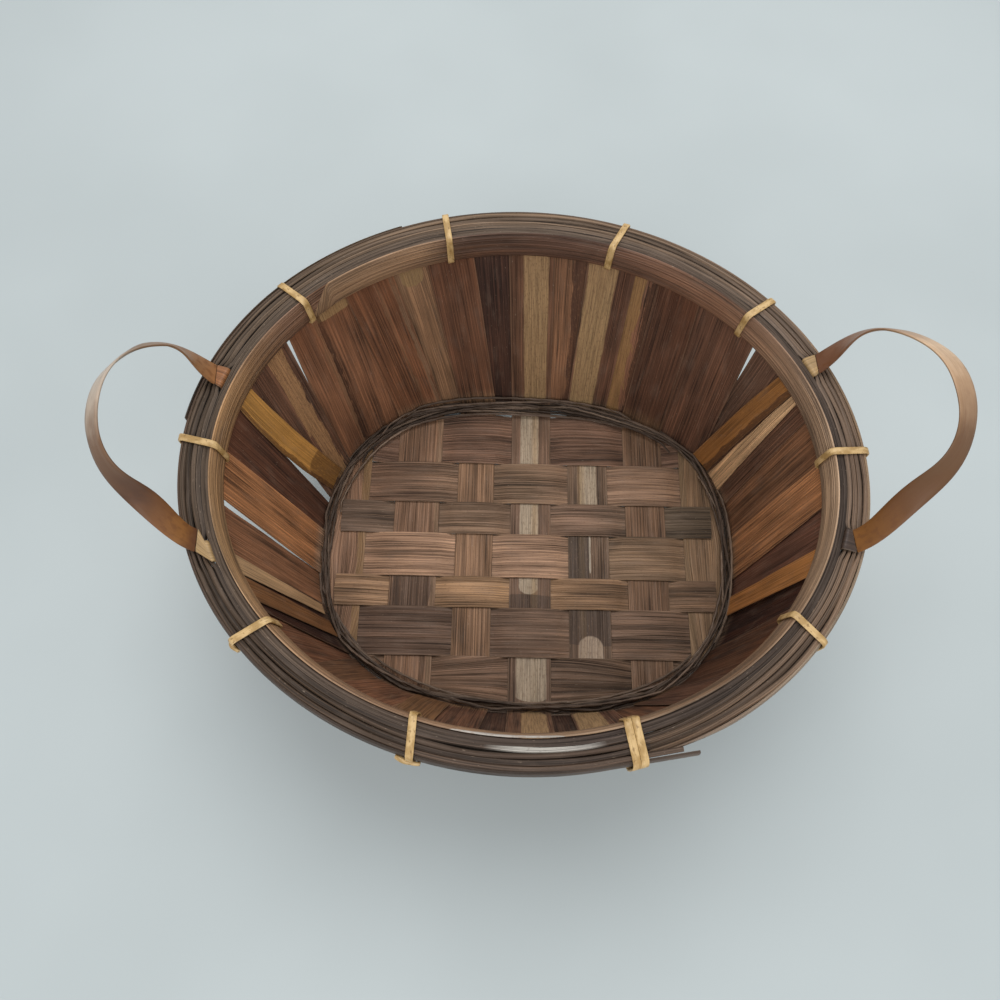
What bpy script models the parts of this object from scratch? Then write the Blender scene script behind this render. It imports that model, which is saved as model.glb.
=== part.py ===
"""Strawberry basket of split cane.

The base is a plain weave of wide splints. Five columns and three rows of it run on past the
oval base and turn up into the wall, where loose staves fill the spaces between them. The rim
clamps the tops of the staves between an inner hoop and a bundle of wound rods with an outer
hoop round them, and ten cane lashings pull it together through slots in the wall. Two bent
strap handles are creased where they fold over the rods and tuck down behind them.

Metres, +Z up, the long axis along X, resting on Z = 0.
"""

import math

import bmesh
import bpy
from mathutils import Matrix, Vector

# Clearances between pieces that touch on the real basket
GAP = 0.0003
CURVE_ALLOWANCE = 0.00015
LAYER_GAP = 0.0004
SLOT_CLEARANCE = 0.0004
WINDING_GAP = 0.0005

# Rim outline, measured over the outer hoop
RIM_LENGTH = 0.380
RIM_WIDTH = 0.335
RIM_TOP = 0.1492

# Foot of the wall, where the splints turn up
BASE_LENGTH = 0.292
BASE_WIDTH = 0.232
BASE_SQUARENESS = 2.56
BASE_SHIFT_X = 0.007
BASE_SHIFT_Y = -0.007

# Splints
SPLINT_THICKNESS = 0.0009
WEAVE_TURN = math.radians(2.3)
COLUMN_WIDTHS = (0.030, 0.033, 0.027, 0.0295, 0.0295, 0.029, 0.0275)
COLUMN_GAP = 0.0127
COLUMN_WIDE_GAP = 0.0195
COLUMN_MIDDLE = 0.010
ROW_WIDTHS = (0.033, 0.0305, 0.023, 0.031, 0.021, 0.033, 0.0295)
ROW_GAP = 0.0012
ROW_BACK_EDGE = 0.0912
ROW_END_SETBACK = 0.011
CORNER_ROW_LEFT_END = -0.104
CORNER_ROW_RIGHT_END = 0.116
BEND_SIZE = 0.0045
TRIM_INSET = 0.0042

# Rim section, from the outer hoop inwards
OUTER_HOOP_THICKNESS = 0.0022
OUTER_HOOP_HEIGHT = 0.0135
OUTER_HOOP_DROP = 0.0007
ROD_WIDTH = 0.0021
ROD_HEIGHT = 0.0024
ROD_LANES = 4
TUCK_THICKNESS = 0.0011
INNER_HOOP_THICKNESS = 0.0022
INNER_HOOP_HEIGHT = 0.018
INNER_HOOP_DROP = 0.0003
RIM_SLOPE = math.tan(math.radians(6.0))
STAVE_TOP_DROP = 0.003

# Lashings
TIE_WIDTH = 0.0044
TIE_THICKNESS = 0.0009
TIE_CORNER = 0.0016
TIE_END_GAP = 0.0008
TIE_ANGLES = {
    "lashing_right": 4.6,
    "lashing_back_right_corner": 41.1,
    "lashing_back_right": 73.2,
    "lashing_back_left": 107.6,
    "lashing_back_left_corner": 142.4,
    "lashing_left": 181.4,
    "lashing_front_left_corner": 222.7,
    "lashing_front_left": 255.3,
    "lashing_front_right": 290.0,
    "lashing_front_right_corner": 325.7,
}
DOUBLE_TIE = "lashing_front_right"

# Rods and their tails past the double lashing
ROD_TAILS = (0.025, 0.013, 0.006, 0.004)
ROD_START_AFTER_TIE = 48.0
ROD_CLIMB_AFTER_TIE = 10.0
ROD_CLIMB_TURN = 30.0
OUTER_HOOP_START_AFTER_TIE = 13.0
OUTER_HOOP_TAIL_TURN = 3.0
HOOP_SCARF_TURN = 10.0
INNER_HOOP_SCARF_ANGLE = 143.5

# Twining at the foot of the wall
TWINE_DIAMETER = 0.0016
TWINE_LOW_CHORDS = 9
TWINE_LOW_SAG = 0.005
TWINE_HIGH_CHORDS = 7
TWINE_HIGH_SAG = 0.004
TWINE_START = 12.0
TWINE_CLIMB_TURN = 30.0
TWINE_END = 706.0

# Handles
HANDLE_WIDTH = 0.0125
HANDLE_THICKNESS = 0.0012
HANDLE_RISE = {"left": 0.072, "right": 0.076}
HANDLE_LEAN = math.radians(27.0)
HANDLE_CREASES = {"left": (166.5, 202.5), "right": (-14.5, 24.5)}
HANDLE_CREASE_INSET = 0.0072
HANDLE_SKEW = 0.006
HANDLE_ROUNDNESS = 2.15
HANDLE_TWIST_RUN = 0.052
TUCK_DEPTH = 0.012
TUCK_BEND = 0.0012

# Layers of the wall
BEHIND, MAIN, INSIDE = -1, 0, 1

# Wall ends of the woven splints: layer, then the rim from and to, in degrees round the basket
COLUMN_BACK_ENDS = {
    2: (MAIN, 121.1, 132.8),
    3: (MAIN, 102.9, 113.4),
    4: (MAIN, 85.5, 95.4),
    5: (MAIN, 67.7, 78.4),
    6: (MAIN, 52.3, 62.5),
}
COLUMN_FRONT_ENDS = {
    2: (MAIN, 237.7, 249.4),
    3: (MAIN, 256.3, 264.6),
    4: (MAIN, 269.6, 278.3),
    5: (MAIN, 282.3, 291.4),
    6: (MAIN, 302.6, 313.8),
}
ROW_LEFT_ENDS = {2: (MAIN, 149.7, 163.6), 4: (MAIN, 179.7, 191.0), 6: (MAIN, 204.0, 216.9)}
ROW_RIGHT_ENDS = {2: (MAIN, 15.8, 26.8), 4: (MAIN, -4.7, 5.5), 6: (BEHIND, -30.6, -20.3)}

# Loose staves: layer, the two edges of the foot, the rim from and to in degrees, height of the foot.
# An edge of a foot is tied to a woven splint that turns up beside it: 0 is that splint's own first
# edge at the base and 1 its last, counted round the basket from the right by the back.
STAVE_FOOT = 0.0054
STRIP_FOOT = 0.0088
STAVES = {
    "stave_right": (MAIN, ("row_4_right", 1.03), ("row_2_right", -0.03), 5.7, 15.5, STAVE_FOOT),
    "stave_back_right_high": (MAIN, ("row_2_right", 1.16), ("column_6_back", -0.03), 37.4, 51.9, STAVE_FOOT),
    "stave_left": (MAIN, ("row_2_left", 1.04), ("row_4_left", -0.03), 169.6, 179.5, STAVE_FOOT),
    "stave_front_left_high": (MAIN, ("row_6_left", 1.12), ("column_2_front", -0.03), 232.3, 237.4, STAVE_FOOT),
    "stave_front_right": (MAIN, ("column_6_front", 1.03), ("row_6_right", 0.22), 315.7, 332.0, STAVE_FOOT),
    "stave_back_right_low": (BEHIND, ("row_2_right", 0.76), ("row_2_right", 1.41), 26.4, 35.8, STAVE_FOOT),
    "stave_back_left_high": (BEHIND, ("column_3_back", 0.87), ("column_2_back", 0.10), 112.6, 122.2, STAVE_FOOT),
    "stave_back_left_low": (BEHIND, ("column_2_back", 0.95), ("row_2_left", 0.11), 132.2, 147.4, STAVE_FOOT),
    "stave_front_left_low": (BEHIND, ("row_6_left", 0.55), ("row_6_left", 1.40), 215.6, 231.0, STAVE_FOOT),
    "stave_front": (BEHIND, ("column_5_front", 0.82), ("column_6_front", 0.16), 289.9, 304.2, STAVE_FOOT),
    "filler_right": (BEHIND, ("row_6_right", 1.20), ("row_4_right", 0.25), 344.0, 356.4, STAVE_FOOT),
    "filler_left": (BEHIND, ("row_4_left", 1.05), ("row_6_left", 0.12), 193.3, 204.8, STAVE_FOOT),
    "filler_back_left": (BEHIND, ("column_4_back", 0.82), ("column_3_back", 0.40), 94.4, 104.6, STAVE_FOOT),
    "filler_back_middle": (BEHIND, ("column_5_back", 0.67), ("column_4_back", 0.17), 76.9, 87.0, STAVE_FOOT),
    "filler_back_right": (BEHIND, ("column_6_back", 0.73), ("column_5_back", 0.16), 60.9, 69.6, STAVE_FOOT),
    "filler_front_left": (BEHIND, ("column_3_front", 0.73), ("column_4_front", 0.20), 262.6, 271.2, STAVE_FOOT),
    "filler_front_right": (BEHIND, ("column_4_front", 0.72), ("column_5_front", 0.21), 276.6, 284.2, STAVE_FOOT),
    "strip_right_pale": (INSIDE, ("row_2_right", 0.51), ("row_2_right", 0.75), 20.4, 22.2, STRIP_FOOT),
    "strip_back_right": (INSIDE, ("row_2_right", 0.89), ("row_2_right", 1.36), 22.6, 27.6, STRIP_FOOT),
    "strip_left": (INSIDE, ("row_2_left", 0.24), ("row_2_left", 0.75), 163.9, 169.3, STRIP_FOOT),
    "strip_front_left": (INSIDE, ("row_6_left", 0.39), ("row_6_left", 0.69), 209.6, 215.2, STRIP_FOOT),
    "strip_front": (INSIDE, ("column_2_front", 0.75), ("column_3_front", 0.05), 249.6, 256.6, STRIP_FOOT),
    "strip_right": (INSIDE, ("row_6_right", 0.90), ("row_6_right", 1.28), 339.2, 345.0, STRIP_FOOT),
}

# Mesh fineness
ACROSS_LENGTH = 0.009
HOOP_STEPS = 96
ROD_STEPS = 60
TWINE_STEPS = 60
WALL_STATIONS = 4
BEND_STATIONS = 3
ARCH_STEPS = 36

# Derived heights and lanes
COLUMN_LEVEL = SPLINT_THICKNESS * 1.5 + GAP
WEAVE_SWING = SPLINT_THICKNESS + GAP
WEAVE_TOP = COLUMN_LEVEL + WEAVE_SWING + SPLINT_THICKNESS / 2
LAYER_PITCH = SPLINT_THICKNESS + LAYER_GAP
ROD_PITCH = ROD_WIDTH + GAP
ROD_FIRST_LANE = OUTER_HOOP_THICKNESS + GAP + ROD_WIDTH / 2
RODS_INNER_EDGE = ROD_FIRST_LANE + (ROD_LANES - 1) * ROD_PITCH + ROD_WIDTH / 2
TUCK_LANE = RODS_INNER_EDGE + GAP + CURVE_ALLOWANCE + TUCK_THICKNESS / 2
WALL_LANE = TUCK_LANE + TUCK_THICKNESS / 2 + GAP + LAYER_PITCH + SPLINT_THICKNESS / 2
INNER_HOOP_OUTSIDE = WALL_LANE + LAYER_PITCH + SPLINT_THICKNESS / 2 + GAP
INNER_HOOP_TOP = RIM_TOP - INNER_HOOP_DROP
INNER_HOOP_LOW = INNER_HOOP_TOP - INNER_HOOP_HEIGHT
STAVE_TOP = RIM_TOP - STAVE_TOP_DROP
HOOP_LOW_INSET = INNER_HOOP_HEIGHT * RIM_SLOPE
OUTER_HOOP_TOP = RIM_TOP - OUTER_HOOP_DROP
OUTER_HOOP_LOW = OUTER_HOOP_TOP - OUTER_HOOP_HEIGHT
ROD_TOP_LEVEL = RIM_TOP - ROD_HEIGHT / 2
ROD_LOW_LEVEL = ROD_TOP_LEVEL - ROD_HEIGHT - WINDING_GAP
CREASE_LEVEL = RIM_TOP + GAP + HANDLE_THICKNESS / 2


def clear_scene():
    """Remove every object that the scene starts with."""
    for obj in list(bpy.data.objects):
        bpy.data.objects.remove(obj, do_unlink=True)


def make_material(name, colour, roughness):
    """A Principled material from a linear colour and a roughness."""
    material = bpy.data.materials.new(name)
    material.use_nodes = True
    shader = material.node_tree.nodes["Principled BSDF"]
    shader.inputs["Base Color"].default_value = (*colour, 1.0)
    shader.inputs["Roughness"].default_value = roughness
    shader.inputs["Metallic"].default_value = 0.0
    material.diffuse_color = (*colour, 1.0)
    return material


def make_object(name, points, faces, material, sharp=math.radians(40)):
    """One closed mesh object with its faces pointing out."""
    mesh = bpy.data.meshes.new(name)
    mesh.from_pydata([tuple(point) for point in points], [], faces)
    shape = bmesh.new()
    shape.from_mesh(mesh)
    bmesh.ops.triangulate(shape, faces=[f for f in shape.faces if len(f.verts) > 4])
    bmesh.ops.recalc_face_normals(shape, faces=shape.faces)
    shape.to_mesh(mesh)
    shape.free()
    mesh.materials.append(material)
    mesh.shade_smooth()
    mesh.set_sharp_from_angle(angle=sharp)
    obj = bpy.data.objects.new(name, mesh)
    bpy.context.collection.objects.link(obj)
    return obj


def sheet_solid(name, grid, thickness, material):
    """A closed sheet of even thickness about a grid of points, lengthwise rows of crosswise points."""
    rows, columns = len(grid), len(grid[0])
    upper, lower = [], []
    for i in range(rows):
        for j in range(columns):
            along = grid[min(i + 1, rows - 1)][j] - grid[max(i - 1, 0)][j]
            across = grid[i][min(j + 1, columns - 1)] - grid[i][max(j - 1, 0)]
            normal = along.cross(across).normalized() * thickness / 2
            upper.append(grid[i][j] + normal)
            lower.append(grid[i][j] - normal)
    count = rows * columns
    faces = []
    for i in range(rows - 1):
        for j in range(columns - 1):
            a, b = i * columns + j, i * columns + j + 1
            c, d = b + columns, a + columns
            faces.append((a, b, c, d))
            faces.append((a + count, d + count, c + count, b + count))
    border = [j for j in range(columns)]
    border += [i * columns + columns - 1 for i in range(1, rows)]
    border += [(rows - 1) * columns + j for j in range(columns - 2, -1, -1)]
    border += [i * columns for i in range(rows - 2, 0, -1)]
    for k, a in enumerate(border):
        b = border[(k + 1) % len(border)]
        faces.append((a, b, b + count, a + count))
    return make_object(name, upper + lower, faces, material)


def sweep_solid(name, frames, section, closed, material):
    """A section of (side, up) pairs carried along frames of (origin, side axis, up axis)."""
    points, size = [], 0
    for index, (origin, side, up) in enumerate(frames):
        shape = section(index / (len(frames) - 1)) if callable(section) else section
        size = len(shape)
        points += [origin + side * s + up * u for s, u in shape]
    faces = []
    spans = len(frames) if closed else len(frames) - 1
    for i in range(spans):
        nxt = (i + 1) % len(frames)
        for k in range(size):
            following = (k + 1) % size
            faces.append((i * size + k, i * size + following, nxt * size + following, nxt * size + k))
    if not closed:
        faces.append(tuple(range(size)))
        faces.append(tuple((len(frames) - 1) * size + k for k in range(size)))
    return make_object(name, points, faces, material)


def round_section(width, height, sides):
    """A rod's section: an even polygon on an ellipse."""
    turn = math.pi / sides
    angles = [turn * (2 * k + 1) for k in range(sides)]
    return [(width / 2 * math.cos(angle), height / 2 * math.sin(angle)) for angle in angles]


def rim_point(degrees, inset, z):
    """A point of the oval rim, inset from its outer outline."""
    angle = math.radians(degrees)
    return Vector(
        ((RIM_LENGTH / 2 - inset) * math.cos(angle), (RIM_WIDTH / 2 - inset) * math.sin(angle), z)
    )


def rim_frame(degrees, inset, z):
    """The point, the outward side axis and the up axis of the rim at an angle."""
    angle = math.radians(degrees)
    half_length, half_width = RIM_LENGTH / 2 - inset, RIM_WIDTH / 2 - inset
    outward = Vector((math.cos(angle) / half_length, math.sin(angle) / half_width, 0)).normalized()
    return rim_point(degrees, inset, z), outward, Vector((0, 0, 1))


def base_point(degrees, inset, z):
    """A point of the squarish oval at the foot of the wall."""
    angle = math.radians(degrees)
    c, s = math.cos(angle), math.sin(angle)
    reach = (abs(c) ** BASE_SQUARENESS + abs(s) ** BASE_SQUARENESS) ** (-1 / BASE_SQUARENESS)
    x = BASE_SHIFT_X + (BASE_LENGTH / 2 - inset) * c * reach
    y = BASE_SHIFT_Y + (BASE_WIDTH / 2 - inset) * s * reach
    return Vector((x, y, z))


def wall_point(degrees, z, inward=0.0):
    """A point in the middle of the wall's main layer, or inward of it, at a height."""
    foot = base_point(degrees, inward, z)
    hoop_low = rim_point(degrees, WALL_LANE + HOOP_LOW_INSET + inward, z)
    if z <= INNER_HOOP_LOW:
        return foot.lerp(hoop_low, z / INNER_HOOP_LOW)
    share = (z - INNER_HOOP_LOW) / (INNER_HOOP_TOP - INNER_HOOP_LOW)
    return hoop_low.lerp(rim_point(degrees, WALL_LANE + inward, z), share)


def weave_to_world(across, along, z):
    """Turn a place in the weave, along its rows and its columns, into the basket's frame."""
    c, s = math.cos(WEAVE_TURN), math.sin(WEAVE_TURN)
    return Vector((across * c - along * s, across * s + along * c, z))


def run_to_base(start, direction):
    """How far a straight line goes from inside the base to its oval, and the oval's angle there."""
    near, far = 0.0, BASE_LENGTH
    for _ in range(40):
        middle = (near + far) / 2
        point = start + direction * middle
        u = (point.x - BASE_SHIFT_X) / (BASE_LENGTH / 2)
        v = (point.y - BASE_SHIFT_Y) / (BASE_WIDTH / 2)
        if abs(u) ** BASE_SQUARENESS + abs(v) ** BASE_SQUARENESS < 1:
            near = middle
        else:
            far = middle
    return near, math.degrees(math.atan2(v, u))


def turned_up_end(start, direction, share, end):
    """The points of one lengthwise line of a splint, from its bend at the base up to the rim.

    start is on the flat part of the line, share runs from 0 to 1 across the splint and end is the
    splint's layer with the rim angles of its first and last line.
    """
    layer, rim_first, rim_last = end
    inward = layer * LAYER_PITCH
    reach, foot_angle = run_to_base(start, direction)
    top_angle = rim_first + (rim_last - rim_first) * share
    foot_angle += 360 * round((top_angle - foot_angle) / 360)
    level = start.z
    bend_top = level + BEND_SIZE

    def on_wall(z):
        return wall_point(foot_angle + (top_angle - foot_angle) * z / INNER_HOOP_LOW, z, inward)

    corner = wall_point(foot_angle, level, inward)
    first = corner - direction * BEND_SIZE
    last = on_wall(bend_top)
    line = [first]
    for k in range(1, BEND_STATIONS):
        t = k / BEND_STATIONS
        line.append(first * (1 - t) ** 2 + corner * 2 * t * (1 - t) + last * t**2)
    line += [on_wall(bend_top + (INNER_HOOP_LOW - bend_top) * k / WALL_STATIONS) for k in range(WALL_STATIONS)]
    line += [on_wall(INNER_HOOP_LOW), wall_point(top_angle, STAVE_TOP, inward)]
    return line


def turned_about(end):
    """A wall end with its rim angles in the other order."""
    layer, first, last = end
    return layer, last, first


def column_edges():
    """The left and right edges of the seven columns, in the weave's own frame."""
    gaps = [COLUMN_WIDE_GAP] + [COLUMN_GAP] * (len(COLUMN_WIDTHS) - 2)
    left = COLUMN_MIDDLE - COLUMN_WIDTHS[3] / 2 - sum(COLUMN_WIDTHS[:3]) - sum(gaps[:3])
    edges = []
    for index, width in enumerate(COLUMN_WIDTHS):
        edges.append((left, left + width))
        left += width + (gaps[index] if index < len(gaps) else 0)
    return edges


def row_edges():
    """The back and front edges of the seven rows, in the weave's own frame."""
    back = ROW_BACK_EDGE
    edges = []
    for width in ROW_WIDTHS:
        edges.append((back, back - width))
        back -= width + ROW_GAP
    return edges


def row_is_over(row, column):
    """Whether a row passes over a column, both counted from 1."""
    return (row + column) % 2 == 0


def row_profile(row):
    """The (place along the row, height) stations of a row over and under the columns."""
    stations = []
    edges = column_edges()
    for index, (left, right) in enumerate(edges):
        height = COLUMN_LEVEL + (WEAVE_SWING if row_is_over(row, index + 1) else -WEAVE_SWING)
        stations += [(left - GAP, height), (right + GAP, height)]
    eased = []
    for (x0, z0), (x1, z1) in zip(stations, stations[1:]):
        eased.append((x0, z0))
        if abs(z1 - z0) > GAP:
            eased += [(x0 + (x1 - x0) * t, z0 + (z1 - z0) * e) for t, e in ((0.3, 0.15), (0.7, 0.85))]
    eased.append(stations[-1])
    return eased


def build_columns(material):
    """The seven columns: two cut inside the base, five turned up at the back and the front."""
    for number, (left, right) in enumerate(column_edges(), start=1):
        name = f"base_column_{number}"
        if number in (1, 7):
            half = BASE_WIDTH / 2
            grid = [[weave_to_world(x, y, COLUMN_LEVEL) for x in (left, right)] for y in (-half, half)]
            trim_to_base(sheet_solid(name, grid, SPLINT_THICKNESS, material))
            continue
        parts = max(2, math.ceil((right - left) / ACROSS_LENGTH))
        forward, backward = weave_to_world(0, -1, 0), weave_to_world(0, 1, 0)
        back_end, front_end = turned_about(COLUMN_BACK_ENDS[number]), COLUMN_FRONT_ENDS[number]
        lines = []
        for k in range(parts + 1):
            middle = weave_to_world(left + (right - left) * k / parts, 0, COLUMN_LEVEL)
            back = turned_up_end(middle, backward, k / parts, back_end)
            front = turned_up_end(middle, forward, k / parts, front_end)
            lines.append(list(reversed(front)) + back)
        sheet_solid(name, [list(row) for row in zip(*lines)], SPLINT_THICKNESS, material)


def build_rows(material):
    """The seven rows: four cut at the base, three turned up at the left and the right."""
    for number, (back, front) in enumerate(row_edges(), start=1):
        name = f"base_row_{number}"
        profile = row_profile(number)
        if number in ROW_LEFT_ENDS:
            build_turned_row(name, number, back, front, profile, material)
            continue
        if number in (1, 7):
            low, high = CORNER_ROW_LEFT_END, CORNER_ROW_RIGHT_END
        else:
            low = -run_to_base(Vector(), weave_to_world(-1, 0, 0))[0] + ROW_END_SETBACK
            high = run_to_base(Vector(), weave_to_world(1, 0, 0))[0] - ROW_END_SETBACK
        inside = [(x, z) for x, z in profile if low + BEND_SIZE < x < high - BEND_SIZE]
        stations = [(low, inside[0][1])] + inside + [(high, inside[-1][1])]
        grid = [[weave_to_world(x, y, z) for y in (back, (back + front) / 2, front)] for x, z in stations]
        obj = sheet_solid(name, grid, SPLINT_THICKNESS, material)
        if number in (1, 7):
            trim_to_base(obj)


def build_turned_row(name, number, back, front, profile, material):
    """A row that dips under the outer columns and turns up at both ends."""
    leftward, rightward = weave_to_world(-1, 0, 0), weave_to_world(1, 0, 0)
    level = COLUMN_LEVEL - WEAVE_SWING
    parts = max(2, math.ceil((back - front) / ACROSS_LENGTH))
    columns = column_edges()
    inside = [(x, z) for x, z in profile if columns[0][1] < x < columns[-1][0]]
    left_end, right_end = ROW_LEFT_ENDS[number], turned_about(ROW_RIGHT_ENDS[number])
    lines = []
    for k in range(parts + 1):
        y = back + (front - back) * k / parts
        start = weave_to_world(0, y, level)
        left = turned_up_end(start, leftward, k / parts, left_end)
        right = turned_up_end(start, rightward, k / parts, right_end)
        flat = [weave_to_world(x, y, z) for x, z in inside]
        lines.append(list(reversed(left)) + flat + right)
    sheet_solid(name, [list(row) for row in zip(*lines)], SPLINT_THICKNESS, material)


def base_trim():
    """The oval block that the cut splints are trimmed to."""
    steps = 72
    outline = [base_point(360 * k / steps, TRIM_INSET, 0) for k in range(steps)]
    points = [Vector((p.x, p.y, -0.01)) for p in outline] + [Vector((p.x, p.y, 0.02)) for p in outline]
    faces = [(k, (k + 1) % steps, (k + 1) % steps + steps, k + steps) for k in range(steps)]
    faces += [tuple(range(steps)), tuple(range(steps, 2 * steps))]
    block = make_object("base_trim_block", points, faces, bpy.data.materials["base_splint"])
    block.hide_render = True
    block.display_type = "WIRE"
    return block


def trim_to_base(obj):
    """Keep the part of a splint that lies inside the oval of the base."""
    cut = obj.modifiers.new("trim", "BOOLEAN")
    cut.operation = "INTERSECT"
    cut.object = bpy.data.objects["base_trim_block"]


def splint_feet():
    """The first and last angle at the base of every woven splint that turns up into the wall."""
    feet = {}
    for number, edges in enumerate(column_edges(), start=1):
        if number in COLUMN_BACK_ENDS:
            for side, direction in (("back", weave_to_world(0, 1, 0)), ("front", weave_to_world(0, -1, 0))):
                starts = [weave_to_world(x, 0, 0) for x in edges]
                feet[f"column_{number}_{side}"] = sorted(run_to_base(start, direction)[1] for start in starts)
    for number, edges in enumerate(row_edges(), start=1):
        if number in ROW_LEFT_ENDS:
            for side, direction in (("left", weave_to_world(-1, 0, 0)), ("right", weave_to_world(1, 0, 0))):
                starts = [weave_to_world(0, y, 0) for y in edges]
                angles = [run_to_base(start, direction)[1] for start in starts]
                if side == "left":
                    angles = [angle % 360 for angle in angles]
                feet[f"row_{number}_{side}"] = sorted(angles)
    return feet


def foot_angle_near(feet, edge, rim_angle):
    """The angle of a loose stave's foot edge, from the splint that it is tied to."""
    splint, share = edge
    first, last = feet[splint]
    angle = first + (last - first) * share
    return angle + 360 * round((rim_angle - angle) / 360)


def build_staves(materials):
    """The loose staves: the rest of the main layer, those behind it and the strips inside it."""
    feet = splint_feet()
    for name, (layer, first_edge, last_edge, rim_from, rim_to, foot) in STAVES.items():
        foot_from = foot_angle_near(feet, first_edge, rim_from)
        foot_to = foot_angle_near(feet, last_edge, rim_to)
        inward = layer * LAYER_PITCH
        width = (wall_point(rim_to, STAVE_TOP) - wall_point(rim_from, STAVE_TOP)).length
        parts = max(2, math.ceil(width / ACROSS_LENGTH))
        heights = [foot + (INNER_HOOP_LOW - foot) * k / WALL_STATIONS for k in range(WALL_STATIONS + 1)]
        grid = []
        for z in heights + [STAVE_TOP]:
            climb = min(z / INNER_HOOP_LOW, 1.0)
            start = foot_from + (rim_from - foot_from) * climb
            end = foot_to + (rim_to - foot_to) * climb
            grid.append([wall_point(start + (end - start) * k / parts, z, inward) for k in range(parts + 1)])
        sheet_solid(name, grid, SPLINT_THICKNESS, materials[layer])


def tie_corners():
    """The corners of a lashing round the rim's section, as (inset, height), the outside one first."""
    off = GAP + TIE_THICKNESS / 2
    hoop_inside = INNER_HOOP_OUTSIDE + INNER_HOOP_THICKNESS + CURVE_ALLOWANCE
    under = INNER_HOOP_LOW - off
    return [
        (-off, OUTER_HOOP_LOW - off),
        (-off, RIM_TOP + off),
        (hoop_inside + off, RIM_TOP + off),
        (hoop_inside + HOOP_LOW_INSET + off, under),
        (INNER_HOOP_OUTSIDE - GAP, under),
    ]


def rounded_path(corners, radius):
    """A closed path through corners, each one rounded by three points."""
    path = []
    for index, corner in enumerate(corners):
        here = Vector(corner)
        before = (Vector(corners[index - 1]) - here).normalized()
        after = (Vector(corners[(index + 1) % len(corners)]) - here).normalized()
        first, last = here + before * radius, here + after * radius
        path += [first, (first + last) / 4 + here / 2, last]
    return path


def tie_frames(degrees, slide_from, slide_to, path):
    """Frames of a lashing that goes round the path while it slides along the rim."""
    frames = []
    count = len(path)
    for index, (inset, z) in enumerate(path):
        slide = slide_from + (slide_to - slide_from) * index / (count - 1)
        origin, outward, up = rim_frame(degrees, 0.0, z)
        tangent = up.cross(outward)
        point = origin - outward * inset + tangent * slide
        ahead = Vector(path[min(index + 1, count - 1)]) - Vector(path[max(index - 1, 0)])
        along = (-outward * ahead[0] + up * ahead[1]).normalized()
        frames.append((point, tangent, along.cross(tangent).normalized()))
    return frames


def build_lashings(material):
    """Ten flat cane lashings, each one open winding whose ends meet under the rim."""
    half_width, half_thickness = TIE_WIDTH / 2, TIE_THICKNESS / 2
    section = [
        (-half_width, -half_thickness),
        (half_width, -half_thickness),
        (half_width, half_thickness * 0.3),
        (half_width * 0.6, half_thickness),
        (-half_width * 0.6, half_thickness),
        (-half_width, half_thickness * 0.3),
    ]
    loop = rounded_path(tie_corners(), TIE_CORNER)
    for name, degrees in TIE_ANGLES.items():
        last, first = loop[-1], loop[0]
        toward = (first - last).normalized()
        seam = last + (first - last) * 0.72
        path = [seam + toward * TIE_END_GAP / 2] + loop + [seam - toward * TIE_END_GAP / 2]
        if name == DOUBLE_TIE:
            pitch = TIE_WIDTH + WINDING_GAP
            frames = tie_frames(degrees, -pitch, 0, [seam] + loop + [seam])[:-1]
            frames += tie_frames(degrees, 0, pitch, [seam] + loop + [seam])
            print(f"{name}: two turns, least gap to itself {1000 * (pitch - TIE_WIDTH):.2f} mm")
        else:
            frames = tie_frames(degrees, 0, 0, path)
            print(f"{name}: one turn, its ends {1000 * TIE_END_GAP:.2f} mm apart")
        sweep_solid(name, frames, section, False, material)


def cut_slots():
    """Slots through the wall for the lashings, each one a lashing's section with a clearance."""
    corners = tie_corners()
    inner, outer = Vector(corners[-1]), Vector(corners[0])
    slope = (outer - inner).normalized()
    ends = [inner - slope * 0.004, inner + slope * (INNER_HOOP_OUTSIDE - RODS_INNER_EDGE + 0.003)]
    splints = [obj for obj in bpy.data.objects if obj.name.startswith(("base_", "stave_", "filler_", "strip_"))]
    splints = [obj for obj in splints if not obj.hide_render]
    for name, degrees in TIE_ANGLES.items():
        turns = 2 if name == DOUBLE_TIE else 1
        half_width = (TIE_WIDTH * turns + WINDING_GAP * (turns - 1)) / 2 + SLOT_CLEARANCE
        if turns == 2:
            half_width += (TIE_WIDTH + WINDING_GAP) / 2
        half_height = TIE_THICKNESS / 2 + SLOT_CLEARANCE
        section = [
            (-half_width, -half_height),
            (half_width, -half_height),
            (half_width, half_height),
            (-half_width, half_height),
        ]
        frames = tie_frames(degrees, 0, 0, ends)
        cutter = sweep_solid(f"slot_{name}", frames, section, False, bpy.data.materials["base_splint"])
        cutter.hide_render = True
        cutter.display_type = "WIRE"
        middle = (frames[0][0] + frames[1][0]) / 2
        for splint in splints:
            if splint_reaches(splint, middle, half_width):
                cut = splint.modifiers.new(f"slot {name}", "BOOLEAN")
                cut.operation = "DIFFERENCE"
                cut.object = cutter


def splint_reaches(splint, place, half_width):
    """Whether a splint's mesh comes within a slot's width of a place at the rim."""
    top = [v.co for v in splint.data.vertices if v.co.z > INNER_HOOP_LOW - 0.001]
    return any((Vector((co.x, co.y, 0)) - Vector((place.x, place.y, 0))).length < half_width + ACROSS_LENGTH
               for co in top)


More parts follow.
